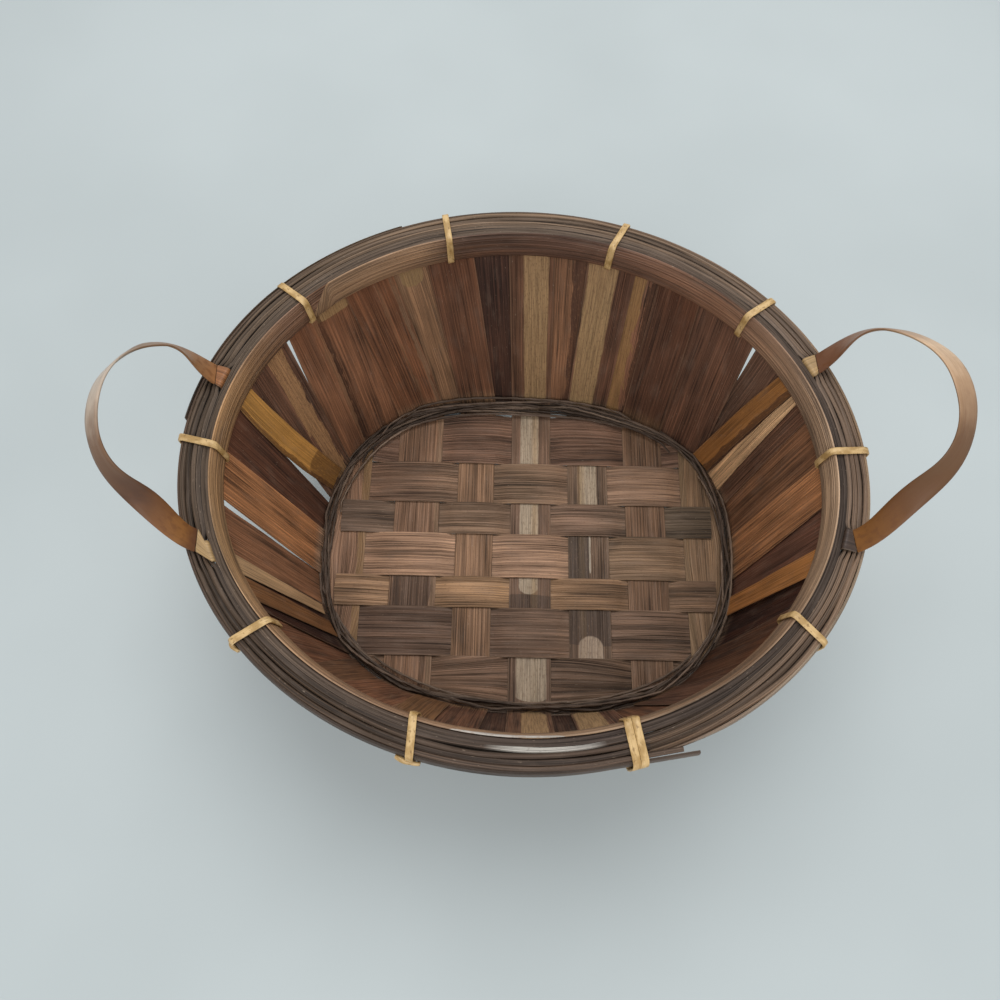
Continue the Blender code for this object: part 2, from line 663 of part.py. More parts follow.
def build_inner_hoop(material):
    """The broad inner hoop: one flat band, half round on its inside, joined by a long scarf."""
    frames, sections = [], []
    turn = 360.0
    for k in range(HOOP_STEPS + 1):
        degrees = INNER_HOOP_SCARF_ANGLE + 1.0 + (turn - 2.0) * k / HOOP_STEPS
        frames.append(rim_frame(degrees, INNER_HOOP_OUTSIDE, INNER_HOOP_LOW))

    def section(share):
        run = turn * min(share, 1 - share)
        full = min(1.0, 0.45 + 0.55 * run / HOOP_SCARF_TURN)
        thick = INNER_HOOP_THICKNESS * full
        low, high = -HOOP_LOW_INSET, 0.0
        height = INNER_HOOP_HEIGHT
        return [
            (low, 0.0),
            (high, height),
            (high - thick * 0.7, height),
            (high - thick, height * 0.86),
            (low - thick, height * 0.14),
            (low - thick * 0.7, 0.0),
        ]

    return sweep_solid("rim_inner_hoop", frames, section, False, material)


def build_outer_hoop(material):
    """The outer hoop: a narrower band round the rods, open past the double lashing."""
    start = TIE_ANGLES[DOUBLE_TIE] + OUTER_HOOP_START_AFTER_TIE
    turn = 360 - OUTER_HOOP_START_AFTER_TIE + OUTER_HOOP_TAIL_TURN
    frames = []
    for k in range(HOOP_STEPS + 1):
        frames.append(rim_frame(start + turn * k / HOOP_STEPS, OUTER_HOOP_THICKNESS, OUTER_HOOP_LOW))

    def section(share):
        run = turn * share
        thick = OUTER_HOOP_THICKNESS * min(1.0, 0.4 + 0.6 * run / HOOP_SCARF_TURN)
        height = OUTER_HOOP_HEIGHT
        return [
            (0.0, 0.0),
            (thick * 0.7, 0.0),
            (thick, height * 0.16),
            (thick, height * 0.84),
            (thick * 0.7, height),
            (0.0, height),
        ]

    return sweep_solid("rim_outer_hoop", frames, section, False, material)


def rod_frames(lane, tail):
    """One rod's path: a low turn, a climb and a high turn in its lane, then a straight tail."""
    tie = TIE_ANGLES[DOUBLE_TIE]
    inset = ROD_FIRST_LANE + lane * ROD_PITCH
    start, end = tie + ROD_START_AFTER_TIE, tie + 720
    climb = tie + 360 + ROD_CLIMB_AFTER_TIE
    steps = round(ROD_STEPS * (end - start) / 360)
    frames = []
    for k in range(steps + 1):
        degrees = start + (end - start) * k / steps
        share = min(max((degrees - climb) / ROD_CLIMB_TURN, 0.0), 1.0)
        share = share * share * (3 - 2 * share)
        frames.append(rim_frame(degrees, inset, ROD_LOW_LEVEL + (ROD_TOP_LEVEL - ROD_LOW_LEVEL) * share))
    origin, outward, up = frames[-1]
    ahead = up.cross(outward)
    frames.append((origin + ahead * tail, outward, up))
    return frames


def least_gap(frames, thickness):
    """The least clear space between turns of a winding, from the points of its path."""
    points = [frame[0] for frame in frames]
    apart = ROD_STEPS // 4
    pairs = (
        (points[i] - points[j]).length for i in range(len(points)) for j in range(i + apart, len(points))
    )
    return min(pairs) - thickness


def build_rods(material):
    """The wound rods between the hoops."""
    for lane in range(ROD_LANES):
        frames = rod_frames(lane, ROD_TAILS[lane])
        print(f"rim_rod_{lane + 1}: least gap to itself {1000 * least_gap(frames, ROD_HEIGHT):.2f} mm")
        sweep_solid(f"rim_rod_{lane + 1}", frames, round_section(ROD_WIDTH, ROD_HEIGHT, 6), False, material)


def twine_frames(offset, low, high):
    """One strand wound nearly twice round the foot of the wall, in shallow chords, then in others above."""
    frames = []
    steps = round(TWINE_STEPS * (TWINE_END - TWINE_START) / 360)
    climb = TWINE_START + 352 - TWINE_CLIMB_TURN
    for k in range(steps + 1):
        degrees = TWINE_START + (TWINE_END - TWINE_START) * k / steps
        share = min(max((degrees - climb) / TWINE_CLIMB_TURN, 0.0), 1.0)
        share = share * share * (3 - 2 * share)
        low_wave = TWINE_LOW_SAG * (1 - math.cos(math.radians(TWINE_LOW_CHORDS * degrees))) / 2
        high_wave = TWINE_HIGH_SAG * (1 - math.cos(math.radians(TWINE_HIGH_CHORDS * degrees))) / 2
        inward = offset + low_wave + (high_wave - low_wave) * share
        z = low + (high - low) * share
        point = wall_point(degrees, z, inward)
        ahead = wall_point(degrees + 1, z, inward) - point
        frames.append((point, ahead.cross(Vector((0, 0, 1))).normalized(), Vector((0, 0, 1))))
    return frames


def build_twining(material):
    """The dark strand that binds the foot of the wall inside, wound nearly twice round."""
    radius = TWINE_DIAMETER / 2
    against = SPLINT_THICKNESS / 2 + LAYER_GAP + radius
    low = WEAVE_TOP + LAYER_GAP + radius
    high = low + TWINE_DIAMETER + WINDING_GAP
    frames = twine_frames(against, low, high)
    print(f"twining: least gap to itself {1000 * least_gap(frames, TWINE_DIAMETER):.2f} mm")
    sweep_solid("twining", frames, round_section(TWINE_DIAMETER, TWINE_DIAMETER, 5), False, material)


def handle_line(side):
    """The crease line of a handle: its middle, its half length, its direction and the way out."""
    first, last = (rim_point(angle, HANDLE_CREASE_INSET, CREASE_LEVEL) for angle in HANDLE_CREASES[side])
    middle = (first + last) / 2
    along = (last - first).normalized()
    outward = Vector((along.y, -along.x, 0))
    if outward.dot(middle) < 0:
        outward = -outward
    return middle, (last - first).length / 2, along, outward


def arch_point(side, share):
    """A point of the handle's arch in its own leaning plane, share running from -1 to 1."""
    middle, half, along, outward = handle_line(side)
    rise_axis = outward * math.sin(HANDLE_LEAN) + Vector((0, 0, 1)) * math.cos(HANDLE_LEAN)
    angle = math.pi / 2 * (1 - share)
    power = 2 / HANDLE_ROUNDNESS
    s = math.copysign(abs(math.cos(angle)) ** power, math.cos(angle))
    rise = math.sin(angle) ** power if math.sin(angle) > 1e-9 else 0.0
    skew = HANDLE_SKEW * math.sin(math.pi * rise) ** 2 * (1 if along.y > 0 else -1)
    return middle + along * (half * s + skew) + rise_axis * HANDLE_RISE[side] * rise


def build_handle(side, material):
    """One strap handle: a bent strip whose ends turn flat to the rim and stop at its creases."""
    middle, half, along, outward = handle_line(side)
    plane_normal = Vector((0, 0, 1)) * math.sin(HANDLE_LEAN) - outward * math.cos(HANDLE_LEAN)
    points = [arch_point(side, 2 * k / (8 * ARCH_STEPS) - 1) for k in range(8 * ARCH_STEPS + 1)]
    lengths = [0.0]
    for a, b in zip(points, points[1:]):
        lengths.append(lengths[-1] + (b - a).length)
    total = lengths[-1]
    frames = []
    for step in range(ARCH_STEPS + 1):
        target = total * step / ARCH_STEPS
        index = min(range(len(lengths)), key=lambda i: abs(lengths[i] - target))
        point = points[index]
        ahead = points[min(index + 1, len(points) - 1)] - points[max(index - 1, 0)]
        forward = ahead.normalized()
        run = min(target, total - target) / HANDLE_TWIST_RUN
        twist = math.pi / 2 * (1 - min(run, 1.0) ** 2 * (3 - 2 * min(run, 1.0)))
        edge = forward.cross(plane_normal).normalized()
        if target > total / 2:
            twist = -twist
        width_axis = plane_normal * math.cos(twist) + edge * math.sin(twist)
        frames.append((point, width_axis, forward.cross(width_axis).normalized()))
    w, t = HANDLE_WIDTH / 2, HANDLE_THICKNESS / 2
    section = [(-w, -t), (w, -t), (w, t * 0.2), (w * 0.8, t), (-w * 0.8, t), (-w, t * 0.2)]
    handle = sweep_solid(f"{side}_handle", frames, section, False, material)
    handle.data.transform(Matrix.Translation(-middle))
    handle.location = middle


def build_tucks(side, material):
    """The two tucked ends of a handle: over the rods, then down between them and the wall."""
    middle, half, along, outward = handle_line(side)
    start_gap = HANDLE_THICKNESS / 2 + GAP
    w = HANDLE_WIDTH / 2
    names = ("back", "front") if side == "left" else ("front", "back")
    for name, angle, sign in zip(names, HANDLE_CREASES[side], (-1, 1)):
        crease = middle + along * half * sign
        flat = RIM_TOP + GAP + TUCK_THICKNESS / 2
        grid = []
        spread = w / ((rim_point(angle + 1, TUCK_LANE, 0) - rim_point(angle, TUCK_LANE, 0)).length)
        lane_angles = [angle + spread * k / 2 for k in (-2, -1, 0, 1, 2)]
        turn = 1 if (rim_point(lane_angles[-1], 0, 0) - rim_point(angle, 0, 0)).dot(along) > 0 else -1
        first = []
        for order in (-turn, -turn / 2, 0, turn / 2, turn):
            point = crease + along * w * order - outward * start_gap
            first.append(Vector((point.x, point.y, flat)))
        grid.append(first)
        grid.append([rim_point(a, TUCK_LANE - TUCK_BEND, flat) for a in lane_angles])
        grid.append([rim_point(a, TUCK_LANE - TUCK_BEND * 0.25, flat - TUCK_BEND * 0.25) for a in lane_angles])
        grid.append([rim_point(a, TUCK_LANE, flat - TUCK_BEND) for a in lane_angles])
        grid.append([rim_point(a, TUCK_LANE, flat - TUCK_DEPTH) for a in lane_angles])
        sheet_solid(f"{side}_handle_tuck_{name}", grid, TUCK_THICKNESS, material)


def centre_on_origin():
    """Move everything so that the middle of the basket's own box is over the origin."""
    shown = [obj for obj in bpy.data.objects if not obj.hide_render]
    corners = [obj.location + vertex.co for obj in shown for vertex in obj.data.vertices]
    shift = Vector((0, 0, 0))
    for axis in (0, 1):
        values = [corner[axis] for corner in corners]
        shift[axis] = -(min(values) + max(values)) / 2
    for obj in bpy.data.objects:
        obj.location += shift
    print(f"moved by {1000 * shift.x:.3f}, {1000 * shift.y:.3f} mm to stand over the origin")
    for side in ("left", "right"):
        middle, half, along, outward = handle_line(side)
        place = middle + shift
        print(f"{side} crease line at {place.x:.5f}, {place.y:.5f}, {place.z:.5f}")
        print(f"{side} crease line along {along.x:.5f}, {along.y:.5f}, {along.z:.5f}")


def main():
    """Build every piece of the basket."""
    clear_scene()
    base = make_material("base_splint", (0.19, 0.115, 0.075), 0.62)
    stave = make_material("wall_stave", (0.125, 0.062, 0.038), 0.6)
    filler = make_material("filler_stave", (0.09, 0.048, 0.032), 0.65)
    strip = make_material("inner_strip", (0.33, 0.19, 0.075), 0.5)
    hoop = make_material("rim_hoop", (0.26, 0.145, 0.085), 0.55)
    rod = make_material("rim_rod", (0.15, 0.1, 0.075), 0.65)
    lash = make_material("cane_lashing", (0.47, 0.3, 0.09), 0.42)
    twine = make_material("twining", (0.07, 0.045, 0.033), 0.7)
    strap = make_material("handle_strap", (0.37, 0.2, 0.09), 0.42)

    base_trim()
    build_columns(base)
    build_rows(base)
    build_staves({MAIN: stave, BEHIND: filler, INSIDE: strip})
    cut_slots()
    build_inner_hoop(hoop)
    build_outer_hoop(hoop)
    build_rods(rod)
    build_lashings(lash)
    build_twining(twine)
    for side in ("left", "right"):
        build_handle(side, strap)
        build_tucks(side, strap)
    centre_on_origin()


main()
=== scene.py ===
"""Looks of a strawberry basket woven of split oak, with a lashed rim and two strap handles."""

import logging
import math
from collections.abc import Callable, Sequence
from dataclasses import dataclass
from enum import Enum
from functools import partial

import bpy
from mathutils import Matrix, Vector, noise


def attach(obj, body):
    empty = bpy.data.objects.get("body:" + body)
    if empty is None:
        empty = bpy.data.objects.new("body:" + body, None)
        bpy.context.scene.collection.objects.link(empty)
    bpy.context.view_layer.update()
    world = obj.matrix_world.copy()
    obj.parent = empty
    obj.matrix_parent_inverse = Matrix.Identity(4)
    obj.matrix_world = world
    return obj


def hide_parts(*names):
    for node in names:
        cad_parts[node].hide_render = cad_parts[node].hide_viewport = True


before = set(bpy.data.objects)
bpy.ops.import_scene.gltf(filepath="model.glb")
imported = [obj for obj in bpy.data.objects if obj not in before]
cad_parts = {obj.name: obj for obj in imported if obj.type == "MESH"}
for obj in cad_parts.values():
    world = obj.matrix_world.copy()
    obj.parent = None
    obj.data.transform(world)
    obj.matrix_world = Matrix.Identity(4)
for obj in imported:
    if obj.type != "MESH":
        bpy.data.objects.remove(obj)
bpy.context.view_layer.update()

LOG = logging.getLogger("basket")
UP = Vector((0, 0, 1))

Row = list[Vector]
Grid = list[Row]
Floats = tuple[float, ...]
Pair = tuple[float, float]
Pairs = list[Pair]
Frame = tuple[Vector, Vector, Vector]
WallEnd = tuple[int, float, float]
Tones = tuple[tuple[float, str], ...]
Socket = bpy.types.NodeSocket
Material = bpy.types.Material
Piece = bpy.types.Object


# Colour and node helpers


def linear(colour: str, strength: float = 1.0) -> tuple[float, float, float, float]:
    """Turn an sRGB hex colour into linear RGBA.

    Args:
        colour: Six hex digits after a hash.
        strength: Brightness beside the colour itself.

    Returns:
        The linear colour with an alpha of one.
    """
    channels = [int(colour[i : i + 2], 16) / 255 for i in (1, 3, 5)]
    values = [c / 12.92 if c <= 0.04045 else ((c + 0.055) / 1.055) ** 2.4 for c in channels]
    return values[0] * strength, values[1] * strength, values[2] * strength, 1.0


@dataclass(frozen=True)
class Pattern:
    """A noise pattern in its real size.

    Attributes:
        across_mm, along_mm: Size across and along the grain.
        detail, bend: Octaves of finer noise, and how far the fibres bend.
    """

    across_mm: float
    along_mm: float
    detail: float = 1.0
    bend: float = 0.0


# The finest fibres are 0.2 mm in oak and are drawn at 0.55 mm so that they show.
FIBRE = Pattern(0.55, 60.0, bend=0.1)
BROAD = Pattern(9.0, 150.0, bend=0.1)
CLOUD = Pattern(14.0, 45.0, 3.0, 0.1)
WEAR = Pattern(6.0, 22.0, 4.0)
DUST = Pattern(0.8, 3.2, 3.0)
PORES = Pattern(0.7, 2.6, 2.0)
BAND_SIDE = Pattern(3.0, 16.0, 3.0, 0.1)
BAND_SPECKLE = Pattern(1.2, 3.4, 3.0)
BAND_FIBRE = Pattern(0.8, 30.0, 2.0, 0.1)
CANE_PATTERNS = (Pattern(4.0, 7.0, 3.0), Pattern(0.5, 14.0, 2.0), Pattern(1.3, 2.6, 3.0))
STRAP_PATTERNS = (Pattern(9.0, 16.0, 3.0), Pattern(0.7, 40.0, 2.0), Pattern(3.0, 5.0, 4.0))

WEATHERED_GREY = "#8C7868"
PAINTED_EDGE_HIGHLIGHT = "#A88E72"
PALE_DUST = "#B5A08A"


class Graph:
    """A material's node tree, with one way to add a node."""

    def __init__(self, name: str) -> None:
        """Start a material that holds only its shader and its output.

        Args:
            name: The material's name.
        """
        self.material = bpy.data.materials.new(name)
        self.material.use_nodes = True
        self.nodes = self.material.node_tree.nodes
        self.links = self.material.node_tree.links
        self.shader = self.nodes["Principled BSDF"]

    def add(self, kind: str, inputs: dict[str | int, object] | None = None, **settings: object) -> bpy.types.Node:
        """Add a node with its settings, its values and its links.

        Args:
            kind: The node's type without the ShaderNode prefix.
            inputs: Socket names or numbers, with a value or a socket to link from.
            settings: Properties of the node.

        Returns:
            The new node.
        """
        node = self.nodes.new(f"ShaderNode{kind}")
        for key, value in settings.items():
            setattr(node, key, value)
        for key, value in (inputs or {}).items():
            self.feed(node.inputs[key], value)
        return node

    def feed(self, socket: Socket, value: object) -> None:
        """Link a socket from another one, or set its own value.

        Args:
            socket: The input to fill.
            value: A socket or a plain value.
        """
        if isinstance(value, Socket):
            self.links.new(value, socket)
        else:
            socket.default_value = value

    def uv(self, name: str) -> Socket:
        """Return the coordinates of that name."""
        return self.add("UVMap", uv_map=name).outputs[0]

    def math(self, operation: str, a: object, b: object = 0.0) -> Socket:
        """Return the result of one sum on one or two values."""
        return self.add("Math", {0: a, 1: b}, operation=operation).outputs[0]

    def plus(self, first: object, *others: object) -> Socket:
        """Return a value with others added to it in turn.

        Args:
            first: The value to start with.
            others: What is added.

        Returns:
            The sum.
        """
        for other in others:
            first = self.math("ADD", first, other)
        return first

    def minus(self, a: object, b: object) -> Socket:
        """Return a less b."""
        return self.math("SUBTRACT", a, b)

    def times(self, a: object, b: object) -> Socket:
        """Return a times b."""
        return self.math("MULTIPLY", a, b)

    def apart(self, a: object, b: object) -> Socket:
        """Return how far a and b are apart."""
        return self.math("ABSOLUTE", self.minus(a, b))

    def ramp(self, value: object, low: float, high: float, start: float = 0.0, end: float = 1.0) -> Socket:
        """Return a value eased from start to end as it goes from low to high."""
        inputs = {"Value": value, "From Min": low, "From Max": high, "To Min": start, "To Max": end}
        return self.add("MapRange", inputs, interpolation_type="SMOOTHSTEP").outputs["Result"]

    def mix(self, share: object, a: object, b: object) -> Socket:
        """Return the colour between a and b."""
        return self.add("Mix", {0: share, 6: a, 7: b}, data_type="RGBA").outputs[2]

    def pattern(self, grain: Socket, kind: Pattern) -> Socket:
        """Draw a noise pattern in its real size.

        Args:
            grain: The coordinates in metres across and along the grain.
            kind: The pattern.

        Returns:
            The noise, about 0.5.
        """
        sizes = (1000 / kind.across_mm, 1000 / kind.along_mm, 1.0)
        vector = self.add("VectorMath", {0: grain, 1: sizes}, operation="MULTIPLY").outputs[0]
        inputs = {"Vector": vector, "Scale": 1.0, "Detail": kind.detail, "Distortion": kind.bend}
        return self.add("TexNoise", inputs).outputs[0]

    def tinted(self, along: Socket, tones: Tones, strength: float = 1.0) -> Socket:
        """Colour a piece along its length.

        Args:
            along: The place along it, 0 to 1.
            tones: Places with the colour there.
            strength: Brightness of the colours.

        Returns:
            The colour.
        """
        node = self.add("ValToRGB", {0: along})
        stops = node.color_ramp.elements
        for stop, (position, colour) in zip(stops, (tones[0], tones[-1])):
            stop.position, stop.color = position, linear(colour, strength)
        for position, colour in tones[1:-1]:
            stops.new(position).color = linear(colour, strength)
        return node.outputs[0]

    def surface(
        self, body: Socket, rough: object, specular: float, height: Socket, strength: float, distance: float
    ) -> Material:
        """Feed the shader.

        Args:
            body, rough, specular: The base colour, the roughness and the specular level.
            height, strength, distance: The relief, how much it shades and its depth in metres.

        Returns:
            The finished material.
        """
        inputs = self.shader.inputs
        self.feed(inputs["Base Color"], body)
        self.feed(inputs["Roughness"], rough)
        self.feed(inputs["Specular IOR Level"], specular)
        bump = self.add("Bump", {"Height": height, "Strength": strength, "Distance": distance})
        self.feed(inputs["Normal"], bump.outputs[0])
        return self.material


# Finishes


class Reach(Enum):
    """The coordinate along which a band on a splint begins and ends."""

    LENGTH = 0
    DEPTH = 1
    HEIGHT = 2


@dataclass(frozen=True)
class Band:
    """A paler or darker lengthwise band on a splint, such as the young outer wood, a worn patch or the painted shade
    on a rod's underside.

    Attributes:
        middle, width: Place across the splint and share of its width, 0 to 1.
        colour, strength: The band's colour and how much of it shows.
        reach, start, end, cap: The coordinate that ends it, where it begins and ends along it, and the length
            of its rounded ends, in metres.
        ragged: How unevenly its sides run.
    """

    middle: float
    width: float
    colour: str
    strength: float = 0.85
    reach: Reach = Reach.DEPTH
    start: float = -1.0
    end: float = 1.0
    cap: float = 0.004
    ragged: float = 0.08


@dataclass(frozen=True)
class SplitWood:
    """Oak split along the grain, bent green and left bare, so that it dried matt and furrowed.

    The eye reads it by streaks that run unbroken along each splint: thin dark fissures, dull brown
    faces and paler fibres on the ridges between them.

    Attributes:
        name, face, wall: The material's name, the face's colour, and its colour up in the wall, if it is another,
            mostly darker as painted shade.
        deep, pale: Brightness of the furrows and of the raised fibres beside the face.
        groove_mm, relief: Spacing of the furrows and how strongly they shade the surface.
        stain, stain_share: The stain's colour and how much of it shows near the hoop.
        bands: Bands along the splint.
        roughness, weathered, edge, flecks: Middle roughness, and shares of grey wear in patches, of a painted
        highlight along both edges and of pale dust between the fibres.
        tones, shade: Places along a long piece, 0 to 1, with the face's colour there, and their brightness.
        mottle: How strongly the tone drifts over some centimetres.
    """

    name: str
    face: str
    wall: str = ""
    deep: float = 0.34
    pale: float = 1.8
    groove_mm: float = 1.4
    relief: float = 0.6
    stain: str = "#7A4322"
    stain_share: float = 0.0
    bands: tuple[Band, ...] = ()
    roughness: float = 0.6
    weathered: float = 0.18
    edge: float = 0.15
    flecks: float = 0.35
    tones: Tones = ()
    shade: float = 1.0
    mottle: float = 0.15

    def make(self) -> Material:
        """Build the material.

        Returns:
            The finished material.
        """
        graph = Graph(self.name)
        grain = graph.uv("Grain")
        across, along = graph.add("SeparateXYZ", {0: graph.uv("Place")}).outputs[:2]
        spot = graph.add("SeparateXYZ", {0: graph.add("TexCoord").outputs["Object"]}).outputs
        fine, broad, cloud = (graph.pattern(grain, kind) for kind in (FIBRE, BROAD, CLOUD))
        coarse = graph.pattern(grain, Pattern(self.groove_mm, 300.0, bend=0.1))
        fissure = graph.ramp(graph.apart(coarse, 0.46), 0.0, 0.03, 1.0, 0.0)
        fissure = graph.times(fissure, graph.ramp(broad, 0.38, 0.6, 1.0, 0.2))
        tone = graph.plus(
            graph.ramp(broad, 0.35, 0.65, 0.02, 0.24),
            graph.ramp(coarse, 0.38, 0.62, 0.045, 0.275),
            graph.ramp(fine, 0.36, 0.64, 0.0, 0.44),
            graph.ramp(cloud, 0.3, 0.7, -self.mottle, self.mottle),
        )
        tone = graph.minus(tone, graph.times(fissure, 0.35))
        face = graph.tinted(along, self.tones, self.shade) if self.tones else linear(self.face)
        body = self.toned(graph, tone, face)
        # Painted shade: between 6 and 20 mm up the splint turns to its wall colour, mostly darker, for the wall's
        # lesser light.
        if self.wall:
            body = graph.mix(graph.ramp(spot[2], 0.006, 0.02), body, self.toned(graph, tone, linear(self.wall)))
        worn = graph.ramp(graph.pattern(grain, WEAR), 0.5, 0.72, 0.0, self.weathered)
        body = graph.mix(worn, body, linear(WEATHERED_GREY))
        for band in self.bands:
            share = self.band_share(graph, across, grain, spot[band.reach.value], band)
            body = graph.mix(share, body, self.band_colour(graph, grain, band))
        if self.stain_share > 0:
            height = graph.plus(spot[2], graph.times(broad, 0.05))
            body = graph.mix(graph.ramp(height, 0.105, 0.16, 0.0, self.stain_share), body, linear(self.stain))
        # Painted highlight: a pale line along both edges of the splint.
        side = graph.plus(graph.apart(across, 0.5), graph.times(graph.minus(fine, 0.5), 0.06))
        body = graph.mix(graph.ramp(side, 0.462, 0.495, 0.0, self.edge), body, linear(PAINTED_EDGE_HIGHLIGHT))
        dust = graph.ramp(graph.pattern(grain, DUST), 0.66, 0.72, 0.0, self.flecks)
        body = graph.mix(dust, body, linear(PALE_DUST))
        pores = graph.ramp(graph.pattern(grain, PORES), 0.6, 0.7, 0.0, 0.35)
        body = graph.mix(pores, body, linear(self.face, 0.3))
        rough = graph.ramp(tone, 0.2, 0.8, self.roughness + 0.12, self.roughness - 0.08)
        relief = graph.minus(graph.plus(graph.times(coarse, 1.5), graph.times(fine, 0.5)), graph.times(fissure, 0.4))
        return graph.surface(body, rough, 0.4, relief, self.relief, 0.0012)

    def toned(self, graph: Graph, tone: Socket, colour: object) -> Socket:
        """Colour the grain from its furrows to its raised fibres.

        Args:
            graph: The material's nodes.
            tone: The grain, 0 to 1.
            colour: The wood's colour.

        Returns:
            The colour's socket.
        """
        pale = graph.ramp(tone, 0.5, 1.0, 0.0, self.pale - 1)
        bright = graph.plus(graph.ramp(tone, 0.0, 0.5, self.deep, 1.0), pale)
        colour = colour if isinstance(colour, Socket) else colour[:3]
        return graph.add("VectorMath", {0: colour, "Scale": bright}, operation="SCALE").outputs[0]

    @staticmethod
    def band_share(graph: Graph, across: Socket, grain: Socket, along: Socket, band: Band) -> Socket:
        """Find where a speckled band shows, round at its ends.

        Args:
            graph: The material's nodes.
            across: The place across the splint, 0 to 1.
            grain: The grain coordinates.
            along: The coordinate that ends the band.
            band: The band.

        Returns:
            How much of it shows.
        """
        uneven = graph.minus(graph.pattern(grain, BAND_SIDE), 0.5)
        side = graph.plus(graph.minus(across, band.middle), graph.times(uneven, band.ragged * 2))
        side = graph.math("DIVIDE", side, band.width / 2)
        past = graph.math("MAXIMUM", graph.minus(along, band.end), graph.minus(band.start, along))
        past = graph.math("DIVIDE", graph.math("MAXIMUM", past, 0.0), band.cap)
        reach = graph.plus(graph.times(side, side), graph.times(past, past))
        speckle = graph.ramp(graph.pattern(grain, BAND_SPECKLE), 0.32, 0.48, 0.6, 1.0)
        return graph.times(graph.ramp(reach, 0.82, 1.15, band.strength, 0.0), speckle)

    @staticmethod
    def band_colour(graph: Graph, grain: Socket, band: Band) -> Socket:
        """Return the band's colour, paler and darker along its fibres."""
        fibre = graph.ramp(graph.pattern(grain, BAND_FIBRE), 0.35, 0.6)
        return graph.mix(fibre, linear(band.colour, 0.72), linear(band.colour, 1.1))


@dataclass(frozen=True)
class CaneSkin:
    """Split cane with its skin on: a hard, faintly glossy gold face, darker where hands have rubbed it.

    Attributes:
        name, face: The material's name and the skin's colour.
        shade, fleck: Colours of its blotches and of its flecks.
        roughness: Base roughness.
    """

    name: str
    face: str
    shade: str
    fleck: str
    roughness: float = 0.4

    def make(self) -> Material:
        """Build the material.

        Returns:
            The finished material.
        """
        graph = Graph(self.name)
        grain = graph.uv("Grain")
        blotch, fibre, fleck = (graph.pattern(grain, kind) for kind in CANE_PATTERNS)
        body = graph.mix(graph.ramp(blotch, 0.4, 0.62), linear(self.face), linear(self.shade))
        body = graph.mix(graph.ramp(fibre, 0.5, 0.72, 0.0, 0.45), body, linear(self.shade))
        body = graph.mix(graph.ramp(fleck, 0.58, 0.68, 0.0, 0.7), body, linear(self.fleck))
        return graph.surface(body, self.roughness, 0.5, fibre, 0.3, 0.0005)


@dataclass(frozen=True)
class StrapWood:
    """A shaved hickory strap, smooth from handling, with a painted highlight on its outer bend and stained at its
    ends.

    Attributes:
        name, tones: The material's name, and places along the strap, 0 to 1, with the colour there, pale about the
            middle as a painted highlight on the outer bend.
        blotch, blotched: Colour of the darker blotches and how much they show.
    """

    name: str
    tones: Tones
    blotch: str = "#6B4122"
    blotched: float = 0.5

    def make(self) -> Material:
        """Build the material.

        Returns:
            The finished material.
        """
        graph = Graph(self.name)
        grain = graph.uv("Grain")
        along = graph.add("SeparateXYZ", {0: graph.uv("Place")}).outputs[1]
        cloud, fibre, mottle = (graph.pattern(grain, kind) for kind in STRAP_PATTERNS)
        body = graph.tinted(graph.plus(along, graph.times(graph.minus(cloud, 0.5), 0.12)), self.tones)
        near_end = graph.ramp(graph.apart(along, 0.5), 0.2, 0.42, 0.25, 1.0)
        share = graph.times(graph.ramp(mottle, 0.48, 0.64, 0.0, self.blotched), near_end)
        body = graph.mix(share, body, linear(self.blotch))
        body = graph.mix(graph.ramp(fibre, 0.5, 0.7, 0.0, 0.28), body, linear(self.blotch))
        return graph.surface(body, graph.ramp(fibre, 0.3, 0.7, 0.36, 0.5), 0.5, fibre, 0.25, 0.0004)


@dataclass(frozen=True)
class PlainCard:
    """Matt card for the floor, slightly uneven in tone."""

    name: str
    colour: str
    other: str

    def make(self) -> Material:
        """Build the material.

        Returns:
            The finished material.
        """
        graph = Graph(self.name)
        place = graph.add("TexCoord").outputs["Object"]
        cloud = graph.add("TexNoise", {"Scale": 3.0, "Detail": 3.0, "Vector": place})
        body = graph.mix(graph.ramp(cloud.outputs[0], 0.3, 0.7), linear(self.colour), linear(self.other))
        graph.feed(graph.shader.inputs["Base Color"], body)
        graph.shader.inputs["Roughness"].default_value = 0.7
        return graph.material


# Form of the basket, in the same sizes as its solids


